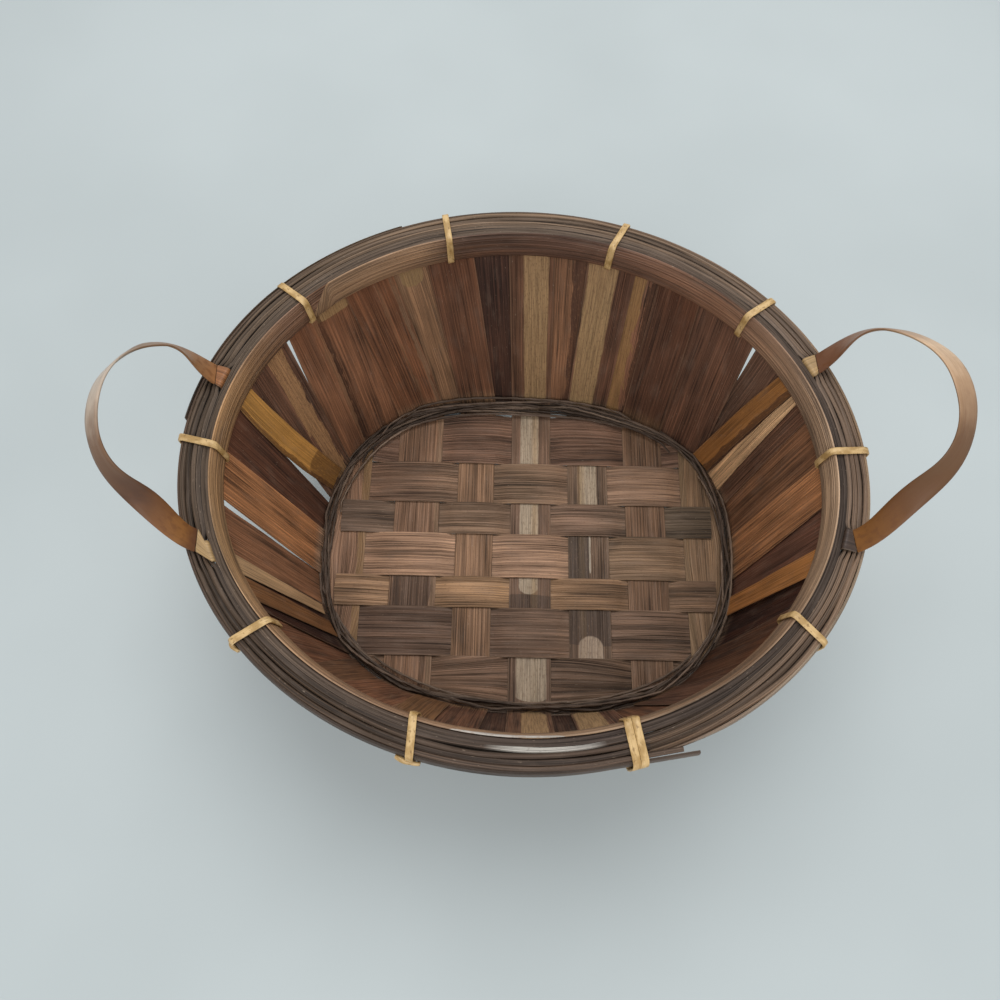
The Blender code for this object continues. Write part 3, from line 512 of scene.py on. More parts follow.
@dataclass(frozen=True)
class BasketForm:
    """The basket's driving sizes, in metres and degrees, and the curves that follow from them."""

    shift: Pair = (-0.00012, -0.000015)
    rim_length: float = 0.380
    rim_width: float = 0.335
    rim_top: float = 0.1492
    base_length: float = 0.292
    base_width: float = 0.232
    squareness: float = 2.56
    base_shift: Pair = (0.007, -0.007)
    gap: float = 0.0003
    curve_allowance: float = 0.00015
    splint: float = 0.0009
    layer_gap: float = 0.0004
    weave_turn: float = math.radians(2.3)
    bend: float = 0.0045
    outer_hoop: float = 0.0022
    outer_hoop_height: float = 0.0135
    outer_hoop_drop: float = 0.0007
    rod_width: float = 0.0021
    rod_height: float = 0.0024
    rod_lanes: int = 4
    rod_own_gap: float = 0.0005
    tuck: float = 0.0011
    inner_hoop: float = 0.0022
    inner_hoop_height: float = 0.018
    inner_hoop_drop: float = 0.0003
    slope: float = math.tan(math.radians(6.0))
    stave_drop: float = 0.003

    @property
    def column_level(self) -> float:
        """Height of the middle of a flat column."""
        return self.splint * 1.5 + self.gap

    @property
    def swing(self) -> float:
        """Rise or fall of a row where it crosses a column."""
        return self.splint + self.gap

    @property
    def layer(self) -> float:
        """Distance between the middles of two layers of the wall."""
        return self.splint + self.layer_gap

    @property
    def rod_pitch(self) -> float:
        """Distance between two rods side by side."""
        return self.rod_width + self.gap

    @property
    def first_rod(self) -> float:
        """Inset of the outermost rod's middle."""
        return self.outer_hoop + self.gap + self.rod_width / 2

    @property
    def rods_inner(self) -> float:
        """Inset of the inner side of the rods."""
        return self.first_rod + (self.rod_lanes - 1) * self.rod_pitch + self.rod_width / 2

    @property
    def tuck_lane(self) -> float:
        """Inset of the middle of a tucked strap end."""
        return self.rods_inner + self.gap + self.curve_allowance + self.tuck / 2

    @property
    def wall_lane(self) -> float:
        """Inset of the middle of the wall's main layer at the rim."""
        return self.tuck_lane + self.tuck / 2 + self.gap + self.layer + self.splint / 2

    @property
    def hoop_outside(self) -> float:
        """Inset of the outer face of the inner hoop."""
        return self.wall_lane + self.layer + self.splint / 2 + self.gap

    @property
    def hoop_top(self) -> float:
        """Height of the inner hoop's upper edge."""
        return self.rim_top - self.inner_hoop_drop

    @property
    def hoop_low(self) -> float:
        """Height of the inner hoop's lower edge."""
        return self.hoop_top - self.inner_hoop_height

    @property
    def outer_low(self) -> float:
        """Height of the outer hoop's lower edge."""
        return self.rim_top - self.outer_hoop_drop - self.outer_hoop_height

    @property
    def hoop_low_inset(self) -> float:
        """How much further in the inner hoop's lower edge lies."""
        return self.inner_hoop_height * self.slope

    def moved(self, x: float, y: float, z: float) -> Vector:
        """Return a point in the row's frame, centred on the basket's own box."""
        return Vector((x + self.shift[0], y + self.shift[1], z))

    def rim(self, degrees: float, inset: float, z: float) -> Vector:
        """Find a point of the oval rim.

        Args:
            degrees, inset, z: Angle, distance in from the rim's outer outline, and height.

        Returns:
            The point.
        """
        angle = math.radians(degrees)
        x = (self.rim_length / 2 - inset) * math.cos(angle)
        y = (self.rim_width / 2 - inset) * math.sin(angle)
        return self.moved(x, y, z)

    def rim_frame(self, degrees: float, inset: float, z: float, axis_inset: float = 0.0) -> Frame:
        """Return a point of the rim with the outward axis, taken at an inset of its own, and the up axis."""
        return self.rim(degrees, inset, z), self.rim_outward(degrees, axis_inset), UP

    def rim_outward(self, degrees: float, inset: float = 0.0) -> Vector:
        """Find the level way out of the rim.

        Args:
            degrees, inset: Angle, and distance in from the rim's outer outline.

        Returns:
            The direction.
        """
        angle = math.radians(degrees)
        x = math.cos(angle) / (self.rim_length / 2 - inset)
        y = math.sin(angle) / (self.rim_width / 2 - inset)
        return Vector((x, y, 0)).normalized()

    def foot(self, degrees: float, inset: float, z: float) -> Vector:
        """Find a point of the squarish oval at the foot of the wall.

        Args:
            degrees, inset, z: Angle, distance in from the oval, and height.

        Returns:
            The point.
        """
        angle = math.radians(degrees)
        c, s = math.cos(angle), math.sin(angle)
        reach = (abs(c) ** self.squareness + abs(s) ** self.squareness) ** (-1 / self.squareness)
        x = self.base_shift[0] + (self.base_length / 2 - inset) * c * reach
        y = self.base_shift[1] + (self.base_width / 2 - inset) * s * reach
        return self.moved(x, y, z)

    def wall(self, degrees: float, z: float, inward: float = 0.0) -> Vector:
        """Find a point in the middle of the wall's main layer, or inward of it.

        Args:
            degrees, z, inward: Angle, height, and distance in from the layer.

        Returns:
            The point.
        """
        low_edge = self.rim(degrees, self.wall_lane + self.hoop_low_inset + inward, z)
        if z <= self.hoop_low:
            return self.foot(degrees, inward, z).lerp(low_edge, z / self.hoop_low)
        share = (z - self.hoop_low) / self.inner_hoop_height
        return low_edge.lerp(self.rim(degrees, self.wall_lane + inward, z), share)

    def woven(self, across: float, along: float, z: float) -> Vector:
        """Turn a place in the weave into the row's frame."""
        c, s = math.cos(self.weave_turn), math.sin(self.weave_turn)
        return self.moved(across * c - along * s, across * s + along * c, z)

    def woven_direction(self, across: float, along: float) -> Vector:
        """Turn a direction in the weave into the row's frame."""
        return self.woven(across, along, 0) - self.woven(0, 0, 0)

    def run_to_foot(self, start: Vector, direction: Vector) -> Pair:
        """Find where a straight line on the base meets its oval.

        Args:
            start: A point inside the oval.
            direction: The level direction to go.

        Returns:
            The distance to the oval and the oval's angle there, in degrees.
        """
        near, far = 0.0, self.base_length
        for _ in range(40):
            middle = (near + far) / 2
            point = start + direction * middle
            u = (point.x - self.shift[0] - self.base_shift[0]) / (self.base_length / 2)
            v = (point.y - self.shift[1] - self.base_shift[1]) / (self.base_width / 2)
            if abs(u) ** self.squareness + abs(v) ** self.squareness < 1:
                near = middle
            else:
                far = middle
        return near, math.degrees(math.atan2(v, u))


FORM = BasketForm()


# Mesh helpers


# A splint is thinner along its edges and drawn in there a little, in shares of its thickness.
EDGE_THICKNESS = 0.45
EDGE_PULL = 0.25
# How far the grain moves, across and along, from one seed to the next.
GRAIN_STEP = (0.37, 1.71)
SHARP_ANGLE = math.radians(50)
# Radii that turn an angle into a length along the rim and the foot, and a reed's length for its section.
RIM_RADIUS = 0.17
FOOT_RADIUS = 0.13
REED_RUN = 7.2


def placed(name: str, data: bpy.types.ID) -> Piece:
    """Put an object with that mesh, lamp or camera in the scene.

    Args:
        name: The object's name.
        data: What it holds.

    Returns:
        The object.
    """
    obj = bpy.data.objects.new(name, data)
    bpy.context.collection.objects.link(obj)
    return obj


def link_mesh(
    name: str, points: Sequence[Vector], faces: Sequence[Sequence[int]], grain: Pairs, place: Pairs, finish: Material
) -> Piece:
    """Make a smooth mesh object with grain and place coordinates.

    Args:
        name, finish: The piece's name and its material.
        points, faces: Corner points in the row's frame, and the corner numbers of each face.
        grain, place: Metres and shares across and along the piece, one pair a point.

    Returns:
        The new object.
    """
    mesh = bpy.data.meshes.new(name)
    mesh.from_pydata([tuple(p) for p in points], [], [tuple(f) for f in faces])
    for layer_name, values in (("Grain", grain), ("Place", place)):
        layer = mesh.uv_layers.new(name=layer_name)
        flat = [coordinate for loop in mesh.loops for coordinate in values[loop.vertex_index]]
        layer.data.foreach_set("uv", flat)
    mesh.materials.append(finish)
    mesh.shade_smooth()
    mesh.set_sharp_from_angle(angle=SHARP_ANGLE)
    mesh.update()
    return placed(name, mesh)


def sheet(name: str, grid: Grid, thickness: float, finish: Material, seed: float) -> Piece:
    """Make a splint: a sheet with softened edges about a grid of points.

    Args:
        name: The piece's name.
        grid: Rows along the splint of points across it.
        thickness: The splint's thickness.
        finish: The material.
        seed: Shifts the grain so that no two splints match.

    Returns:
        The new object.
    """
    rows, columns = len(grid), len(grid[0])
    points: Row = []
    grain: Pairs = []
    place: Pairs = []
    ring = 2 * columns + 2
    run = 0.0
    centre = columns // 2
    for i in range(rows):
        if i:
            run += (grid[i][centre] - grid[i - 1][centre]).length
        ups, downs = [], []
        for j in range(columns):
            along = grid[min(i + 1, rows - 1)][j] - grid[max(i - 1, 0)][j]
            across = grid[i][min(j + 1, columns - 1)] - grid[i][max(j - 1, 0)]
            normal = along.cross(across).normalized()
            at_edge = j in (0, columns - 1)
            rim = EDGE_THICKNESS if at_edge else 1.0
            inward = across.normalized() * thickness * EDGE_PULL if at_edge else Vector((0, 0, 0))
            if j:
                inward = -inward
            ups.append(grid[i][j] + normal * thickness / 2 * rim + inward * (1 - rim))
            downs.append(grid[i][j] - normal * thickness / 2 * rim + inward * (1 - rim))
        loop = ups + [grid[i][-1]] + downs[::-1] + [grid[i][0]]
        width = (grid[i][-1] - grid[i][0]).length
        shares = [j / (columns - 1) for j in range(columns)]
        shares = shares + [1.0] + shares[::-1] + [0.0]
        points += loop
        grain += [((share - 0.5) * width + seed * GRAIN_STEP[0], run + seed * GRAIN_STEP[1]) for share in shares]
        place += [(share, i / (rows - 1)) for share in shares]
    faces = []
    for i in range(rows - 1):
        for k in range(ring):
            a, b = i * ring + k, i * ring + (k + 1) % ring
            faces.append((a, a + ring, b + ring, b))
    for first in (0, (rows - 1) * ring):
        cap = [(first + j, first + j + 1, first + ring - 3 - j, first + ring - 2 - j) for j in range(columns - 1)]
        cap.append((first + ring - 1, first, first + ring - 2))
        cap.append((first + columns - 1, first + columns, first + columns + 1))
        faces += [face[::-1] for face in cap] if first else cap
    return link_mesh(name, points, faces, grain, place, finish)


def sweep(
    name: str, frames: Sequence[Frame], section: Callable[[float], Pairs], finish: Material, seed: float
) -> Piece:
    """Carry a section along frames and close both of its ends.

    Args:
        name: The piece's name.
        frames: The origin, the side axis and the up axis of each step.
        section: Gives the section's (side, up) points for a share of the run.
        finish: The material.
        seed: Shifts the grain.

    Returns:
        The new object.
    """
    points: Row = []
    grain: Pairs = []
    place: Pairs = []
    run = 0.0
    last = len(frames) - 1
    size = len(section(0.0))
    for index, (origin, side, up) in enumerate(frames):
        if index:
            run += (origin - frames[index - 1][0]).length
        shape = section(index / last)
        girth = 0.0
        for k, (s, u) in enumerate(shape):
            if k:
                girth += math.hypot(s - shape[k - 1][0], u - shape[k - 1][1])
            points.append(origin + side * s + up * u)
            grain.append((girth + seed * GRAIN_STEP[0], run + seed * GRAIN_STEP[1]))
            place.append((k / size, index / last))
    faces = []
    for i in range(last):
        for k in range(size):
            a, b = i * size + k, i * size + (k + 1) % size
            faces.append((a, a + size, b + size, b))
    faces += [tuple(range(size)), tuple(last * size + k for k in reversed(range(size)))]
    return link_mesh(name, points, faces, grain, place, finish)


def oval(width: float, height: float, sides: int) -> Pairs:
    """Return an oval section with an even number of sides."""
    turn = 2 * math.pi / sides
    return [(width / 2 * math.cos(turn * k), height / 2 * math.sin(turn * k)) for k in range(sides)]


def crowned(climb: float, crown: float) -> float:
    """Return how full a hoop's face is at a share of its height, with so much of it in its crown."""
    return (1 - abs(2 * climb - 1) ** 3.0) * crown + (1 - crown)


def wander(seed: float, run: float, length: float) -> float:
    """Return a smooth uneven value from -1 to 1 along a run, with hills of about that length."""
    return noise.noise(Vector((run / length, seed * 13.7, seed * 3.1)))


def eased(share: float) -> float:
    """Return a share from 0 to 1, eased at both ends."""
    share = min(max(share, 0.0), 1.0)
    return share * share * (3 - 2 * share)


def spaced(start: float, end: float, steps: int) -> list[float]:
    """Return evenly spaced values from start to end, both of them included."""
    return [start + (end - start) * k / steps for k in range(steps + 1)]


def rounded(before: Vector, corner: Vector, after: Vector, shares: Sequence[float]) -> Row:
    """Return points of the bend that rounds a corner, at shares of the way from before to after it."""
    return [before * (1 - t) ** 2 + corner * 2 * t * (1 - t) + after * t**2 for t in shares]


def straight_end(last: Frame, length: float, steps: int) -> list[Frame]:
    """Return the frames that go straight on from the last one."""
    origin, outward, up = last
    return [(origin + up.cross(outward) * length * k / steps, outward, up) for k in range(1, steps + 1)]


def resampled(line: Row, count: int) -> Row:
    """Draw a line of points again with another number of even steps.

    Args:
        line: The points.
        count: How many there are to be.

    Returns:
        The new points.
    """
    result = []
    for i in range(count):
        place = i / (count - 1) * (len(line) - 1)
        low = min(int(place), len(line) - 2)
        result.append(line[low].lerp(line[low + 1], place - low))
    return result


def dressed(piece: Piece, slot: str, *nodes: str, body: str = "basket") -> Piece:
    """Seat a piece on its body, in place of its solids.

    Args:
        piece: The mesh object.
        slot: The record's material slot; not used.
        nodes: The CAD nodes that it stands for.
        body: The CAD body that it moves with.

    Returns:
        The same piece.
    """
    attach(piece, body)
    if nodes:
        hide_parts(*nodes)
    return piece


# Sub-assemblies


@dataclass
class WovenSplints:
    """The woven base, with the splints that turn up into the wall.

    Attributes:
        form: The basket's sizes.
        finishes: Materials by piece name.
        column_widths, column_gaps, middle: The seven columns, the spaces between and the fourth's middle.
        row_widths, row_gap, back_edge: The seven rows, the space between and the first one's back edge.
        spread, arch: How much a row swells into that space, and its rise over the middle of a column.
        end_setback, corner_ends: Where rows 3 and 5, and rows 1 and 7, end.
        past, trim: How far the first row runs on under the twining, and a splint's cut inside the oval.
        parts: Faces across a splint.
        column_back, column_front: Turned-up ends of columns 2 to 6.
        row_left, row_right: Turned-up ends of rows 2, 4 and 6.
    """

    form: BasketForm
    finishes: dict[str, Material]
    column_widths: Floats = (0.030, 0.033, 0.027, 0.0295, 0.0295, 0.029, 0.0275)
    column_gaps: Floats = (0.0195, 0.0127, 0.0127, 0.0127, 0.0127, 0.0127)
    middle: float = 0.010
    row_widths: Floats = (0.033, 0.0305, 0.023, 0.031, 0.021, 0.033, 0.0295)
    row_gap: float = 0.0012
    spread: float = 0.0008
    back_edge: float = 0.0912
    end_setback: float = 0.011
    corner_ends: Pair = (-0.1090, 0.1212)
    past: float = 0.0062
    trim: float = 0.0014
    arch: float = 0.0006
    parts: int = 10
    column_back: tuple[WallEnd, ...] = (
        (0, 132.8, 121.1), (0, 113.4, 102.9), (0, 95.4, 85.5), (0, 78.4, 67.7), (0, 62.5, 52.3),
    )
    column_front: tuple[WallEnd, ...] = (
        (0, 237.7, 249.4), (0, 256.3, 264.6), (0, 269.6, 278.3), (0, 282.3, 291.4), (0, 302.6, 313.8),
    )
    row_left: tuple[WallEnd, ...] = ((0, 149.7, 163.6), (0, 179.7, 191.0), (0, 204.0, 216.9))
    row_right: tuple[WallEnd, ...] = ((0, 26.8, 15.8), (0, 5.5, -4.7), (-1, -20.3, -30.6))

    def columns(self) -> Pairs:
        """Lay out the columns.

        Returns:
            Their left and right edges in the weave's own frame.
        """
        left = self.middle - self.column_widths[3] / 2 - sum(self.column_widths[:3]) - sum(self.column_gaps[:3])
        edges = []
        for index, width in enumerate(self.column_widths):
            edges.append((left, left + width))
            left += width + (self.column_gaps[index] if index < 6 else 0)
        return edges

    def rows(self) -> Pairs:
        """Lay out the rows.

        Returns:
            Their back and front edges in the weave's own frame.
        """
        back = self.back_edge
        edges = []
        for width in self.row_widths:
            edges.append((back + self.spread, back - width - self.spread))
            back -= width + self.row_gap
        edges[0] = (edges[0][0] + self.past, edges[0][1])
        edges[-1] = (edges[-1][0], edges[-1][1] - self.past * 0.6)
        return edges

    def row_height(self, row: int, x: float) -> float:
        """Return the height of a row's middle at a place along it.

        Args:
            row: The row's number, from the back.
            x: The place along the row.

        Returns:
            The height in metres.
        """
        form = self.form
        previous: Pair | None = None
        for index, (left, right) in enumerate(self.columns()):
            over = (row + index + 1) % 2 == 0
            height = form.column_level + (form.swing if over else -form.swing)
            if left <= x <= right:
                share = (x - (left + right) / 2) / ((right - left) / 2)
                return height + (self.arch * (1 - share * share) if over else 0.0)
            if x < left:
                if previous is None:
                    return height
                start, low = previous
                return low + (height - low) * eased((x - start) / (left - start))
            previous = (right, height)
        return previous[1] if previous else form.column_level

    def turned_end(self, start: Vector, direction: Vector, share: float, end: WallEnd, flat_to: float) -> Row:
        """Return one lengthwise line of a splint from its flat part up to the rim.

        Args:
            start: A point on the flat line.
            direction: The way to the edge of the base.
            share: Place across the splint, 0 to 1.
            end: The layer and the rim angles of the splint's first and last line.
            flat_to: Distance from start at which the flat part has been drawn.

        Returns:
            Points from the flat part to the rim.
        """
        form = self.form
        layer, first_angle, last_angle = end
        inward = layer * form.layer
        _, foot_angle = form.run_to_foot(start, direction)
        top_angle = first_angle + (last_angle - first_angle) * share
        foot_angle += 360 * round((top_angle - foot_angle) / 360)
        level = start.z
        bend_top = level + form.bend

        def on_wall(z: float) -> Vector:
            """Return the line's point on the wall at a height."""
            return form.wall(foot_angle + (top_angle - foot_angle) * z / form.hoop_low, z, inward)

        corner = form.wall(foot_angle, level, inward)
        first = corner - direction * form.bend
        reach = (first - start).length
        flat_step, bend_steps, rise_steps, top_steps = 0.004, 9, 22, 3
        steps = max(1, round((reach - flat_to) / flat_step))
        line = [start + direction * distance for distance in spaced(flat_to, reach, steps)[:-1]]
        line += rounded(first, corner, on_wall(bend_top), [k / bend_steps for k in range(bend_steps)])
        line += [on_wall(z) for z in spaced(bend_top, form.hoop_low, rise_steps)[:-1]]
        top = form.rim_top - form.stave_drop
        return line + [form.wall(top_angle, z, inward) for z in spaced(form.hoop_low, top, top_steps)]

    def build(self) -> list[Piece]:
        """Build the fourteen splints.

        Returns:
            The pieces.
        """
        pieces = [self.column(number, *edges) for number, edges in enumerate(self.columns(), start=1)]
        return pieces + [self.row(number, *edges) for number, edges in enumerate(self.rows(), start=1)]

    def column(self, number: int, left: float, right: float) -> Piece:
        """Build one column.

        Args:
            number: The column's number, from the left.
            left: Its left edge.
            right: Its right edge.

        Returns:
            The piece.
        """
        form = self.form
        name = f"base_column_{number}"
        points, front_start = 118, 0.004
        if number in (1, 7):
            lines = self.trimmed(left, right)
        else:
            lines = []
            forward, backward = form.woven_direction(0, -1), form.woven_direction(0, 1)
            for share in spaced(0.0, 1.0, self.parts):
                start = form.woven(left + (right - left) * share, 0, form.column_level)
                back = self.turned_end(start, backward, share, self.column_back[number - 2], 0.0)
                front = self.turned_end(start, forward, share, self.column_front[number - 2], front_start)
                lines.append(resampled(front[::-1] + back, points))
        grid = [list(row) for row in zip(*lines)]
        piece = sheet(f"woven_column_{number}", grid, form.splint, self.finishes[name], number * 1.37)
        return dressed(piece, "base_splint", name)

    def trimmed(self, left: float, right: float) -> list[Row]:
        """Return the lines of an outer column, cut along the oval of the base.

        Args:
            left: The column's left edge.
            right: Its right edge.

        Returns:
            Its lines, each from the front to the back.
        """
        form = self.form
        start_depth, shortest, steps = -0.015, 0.004, 40
        lines = []
        for x in spaced(left, right, self.parts):
            start = form.woven(x, start_depth, form.column_level)
            ends = []
            for direction in (form.woven_direction(0, -1), form.woven_direction(0, 1)):
                reach, _ = form.run_to_foot(start, direction)
                ends.append(start + direction * max(reach - self.trim, shortest))
            lines.append([ends[0].lerp(ends[1], share) for share in spaced(0.0, 1.0, steps)])
        return lines

    def row(self, number: int, back: float, front: float) -> Piece:
        """Build one row. Rows 2, 4 and 6 turn up into the wall.

        Args:
            number: The row's number, from the back.
            back: Its back edge.
            front: Its front edge.

        Returns:
            The piece.
        """
        form = self.form
        name = f"base_row_{number}"
        turned, side = number % 2 == 0, number // 2 - 1
        steps = 110 if turned else 130
        lines = []
        for share in spaced(0.0, 1.0, self.parts):
            y = back + (front - back) * share
            columns = self.columns()
            low, high = (columns[0][1], columns[-1][0]) if turned else self.cut_ends(number, y, share)
            line = [form.woven(x, y, self.row_height(number, x)) for x in spaced(low, high, steps)]
            if turned:
                start = form.woven(0, y, form.column_level - form.swing)
                left = self.turned_end(start, form.woven_direction(-1, 0), share, self.row_left[side], -low)
                right = self.turned_end(start, form.woven_direction(1, 0), share, self.row_right[side], high)
                line = left[::-1] + line[1:-1] + right
            lines.append(line)
        longest = max(len(line) for line in lines)
        lines = [line if len(line) == longest else resampled(line, longest) for line in lines]
        grid = [list(row) for row in zip(*lines)]
        piece = sheet(f"woven_row_{number}", grid, form.splint, self.finishes[name], 9 + number * 1.83)
        return dressed(piece, "base_splint", name)

    def cut_ends(self, number: int, y: float, share: float) -> Pair:
        """Return where a short row begins and ends along one of its lines.

        Args:
            number: The row's number.
            y: The line's place across the weave.
            share: The line's place across the row, 0 to 1.

        Returns:
            The left and the right end.
        """
        form = self.form
        start = form.woven(0, y if number in (1, 7) else 0, 0)
        left = -form.run_to_foot(start, form.woven_direction(-1, 0))[0]
        right = form.run_to_foot(start, form.woven_direction(1, 0))[0]
        if number in (1, 7):
            return max(left + self.trim, self.corner_ends[0]), min(right - self.trim, self.corner_ends[1])
        ragged_left, ragged_right, hills = 0.0011, 0.001, 0.22
        left = left + self.end_setback + ragged_left * wander(number + 0.5, share, hills)
        return left, right - self.end_setback - ragged_right * wander(number + 7.5, share, hills)


@dataclass(frozen=True)
class Stave:
    """The place of one stave in the wall.

    Attributes:
        name: Its CAD node.
        layers: Layer of its two edges, counted inwards from the turned-up splints.
        feet, tops, bows: Degrees of its two edges at the foot and at the rim, and of their curve between.
        waves: How much its face is buckled, in metres.
    """

    name: str
    layers: Pair
    feet: Pair
    tops: Pair
    bows: Pair = (0.0, 0.0)
    waves: float = 0.00015


@dataclass
class WallStaves:
    """The loose staves of the wall: wide ones, darker fillers behind and thin strips inside.

    Attributes:
        form: The basket's sizes.
        finishes: Materials by piece name.
        stave_foot, strip_foot, overlay_foot: Heights of the feet of a stave, an inner strip and the overlay.
        parts, steps: Faces across and along a stave.
        staves, overlay: The place of each stave, and of the thin strip over the wall at the left.
    """

    form: BasketForm
    finishes: dict[str, Material]
    stave_foot: float = 0.0006
    strip_foot: float = 0.0088
    overlay_foot: float = 0.012
    parts: int = 12
    steps: int = 40
    staves: tuple[Stave, ...] = (
        Stave("stave_right", (-0.85, -0.85), (6.6, 19.6), (4.9, 16.3)),
        Stave("stave_back_right_high", (0.0, -0.85), (36.5, 51.8), (37.2, 52.8)),
        Stave("stave_left", (0.0, -0.85), (168.4, 179.2), (168.7, 180.2)),
        Stave("stave_front_left_high", (0.0, -0.85), (224.1, 234.0), (232.3, 238.0)),
        Stave("stave_front_right", (-0.85, 0.0), (311.9, 327.2), (314.4, 332.0)),
        Stave("stave_back_right_low", (-1, -1), (30.0, 40.6), (26.0, 36.4), bows=(0.0, -0.35)),
        Stave("stave_back_left_high", (-1, -1), (109.8, 118.2), (112.2, 122.6)),
        Stave("stave_back_left_low", (-1, -1), (129.0, 153.8), (131.8, 148.6), bows=(0.0, -0.6)),
        Stave("stave_front_left_low", (-1, -1), (214.3, 229.3), (215.4, 231.5)),
        Stave("stave_front", (-1, -1), (292.8, 302.2), (289.7, 304.5)),
        Stave("filler_right", (-1, -1), (343.4, 355.8), (343.7, 356.7)),
        Stave("filler_left", (-1, -1), (193.7, 207.5), (191.9, 205.2)),
        Stave("filler_back_left", (-1, -1), (93.9, 105.7), (94.1, 104.9)),
        Stave("filler_back_middle", (-1, -1), (75.7, 87.1), (76.6, 87.3)),
        Stave("filler_back_right", (-1, -1), (59.9, 70.5), (60.6, 69.9)),
        Stave("filler_front_left", (-1, -1), (259.3, 269.9), (262.3, 271.5)),
        Stave("filler_front_right", (-1, -1), (275.4, 286.5), (276.3, 284.5)),
        Stave("strip_right_pale", (1, 1), (24.4, 31.4), (20.2, 22.4)),
        Stave("strip_back_right", (1, 1), (32.3, 39.6), (22.5, 27.8)),
        Stave("strip_left", (1, 1), (154.9, 162.9), (163.9, 169.5), bows=(1.2, 2.4), waves=0.0006),
        Stave("strip_front_left", (1, 1), (211.5, 217.0), (209.4, 215.4), waves=0.0004),
        Stave("strip_front", (1, 1), (243.5, 252.6), (249.4, 256.8)),
        Stave("strip_right", (1, 1), (338.6, 345.2), (338.5, 345.2)),
    )
    overlay: Stave = Stave("overlay_left", (1, 1), (206.2, 209.4), (204.2, 209.0))

    def build(self) -> list[Piece]:
        """Build the loose staves.

        Returns:
            The pieces.
        """
        pieces = []
        for index, stave in enumerate(self.staves):
            name, inside = stave.name, stave.layers[0] > 0
            slot = "inner_strip" if inside else "filler_stave" if name.startswith("filler") else "wall_stave"
            grid = self.stave_grid(stave, self.strip_foot if inside else self.stave_foot, index)
            piece = sheet(f"wall_{name}", grid, self.form.splint, self.finishes[name], 30 + index * 2.11)
            pieces.append(dressed(piece, slot, name))
        grid = self.stave_grid(self.overlay, self.overlay_foot, 40)
        thin = sheet("wall_thin_overlay", grid, self.form.splint * 0.6, self.finishes[self.overlay.name], 91.0)
        return [*pieces, dressed(thin, "inner_strip")]

    def stave_grid(self, stave: Stave, foot: float, number: int) -> Grid:
        """Return a stave's points, with the faint waves and ragged edges of riven wood.

        Args:
            stave: Its place.
            foot: Height of its foot.
            number: Sets the waves apart from those of the other staves.

        Returns:
            The rows of points from the foot to the rim.
        """
        form = self.form
        ragged, hills, most_outward = 0.2, 0.03, -0.0002
        grid = []
        for z in spaced(foot, form.rim_top - form.stave_drop, self.steps):
            climb = min(z / form.hoop_low, 1.0)
            free = 4 * climb * (1 - climb)
            ends = []
            for edge in (0, 1):
                angle = stave.feet[edge] + (stave.tops[edge] - stave.feet[edge]) * climb
                ends.append(angle + free * (stave.bows[edge] + ragged * wander(number + edge * 8.4, z, hills)))
            row = []
            for share in spaced(0.0, 1.0, self.parts):
                layer = stave.layers[0] + (stave.layers[1] - stave.layers[0]) * share
                wave = stave.waves * free * noise.noise(Vector((share * 3.0, z * 60, number * 5.3)))
                angle = ends[0] + (ends[1] - ends[0]) * share
                row.append(form.wall(angle, z, layer * form.layer + max(wave, most_outward)))
            grid.append(row)
        return grid


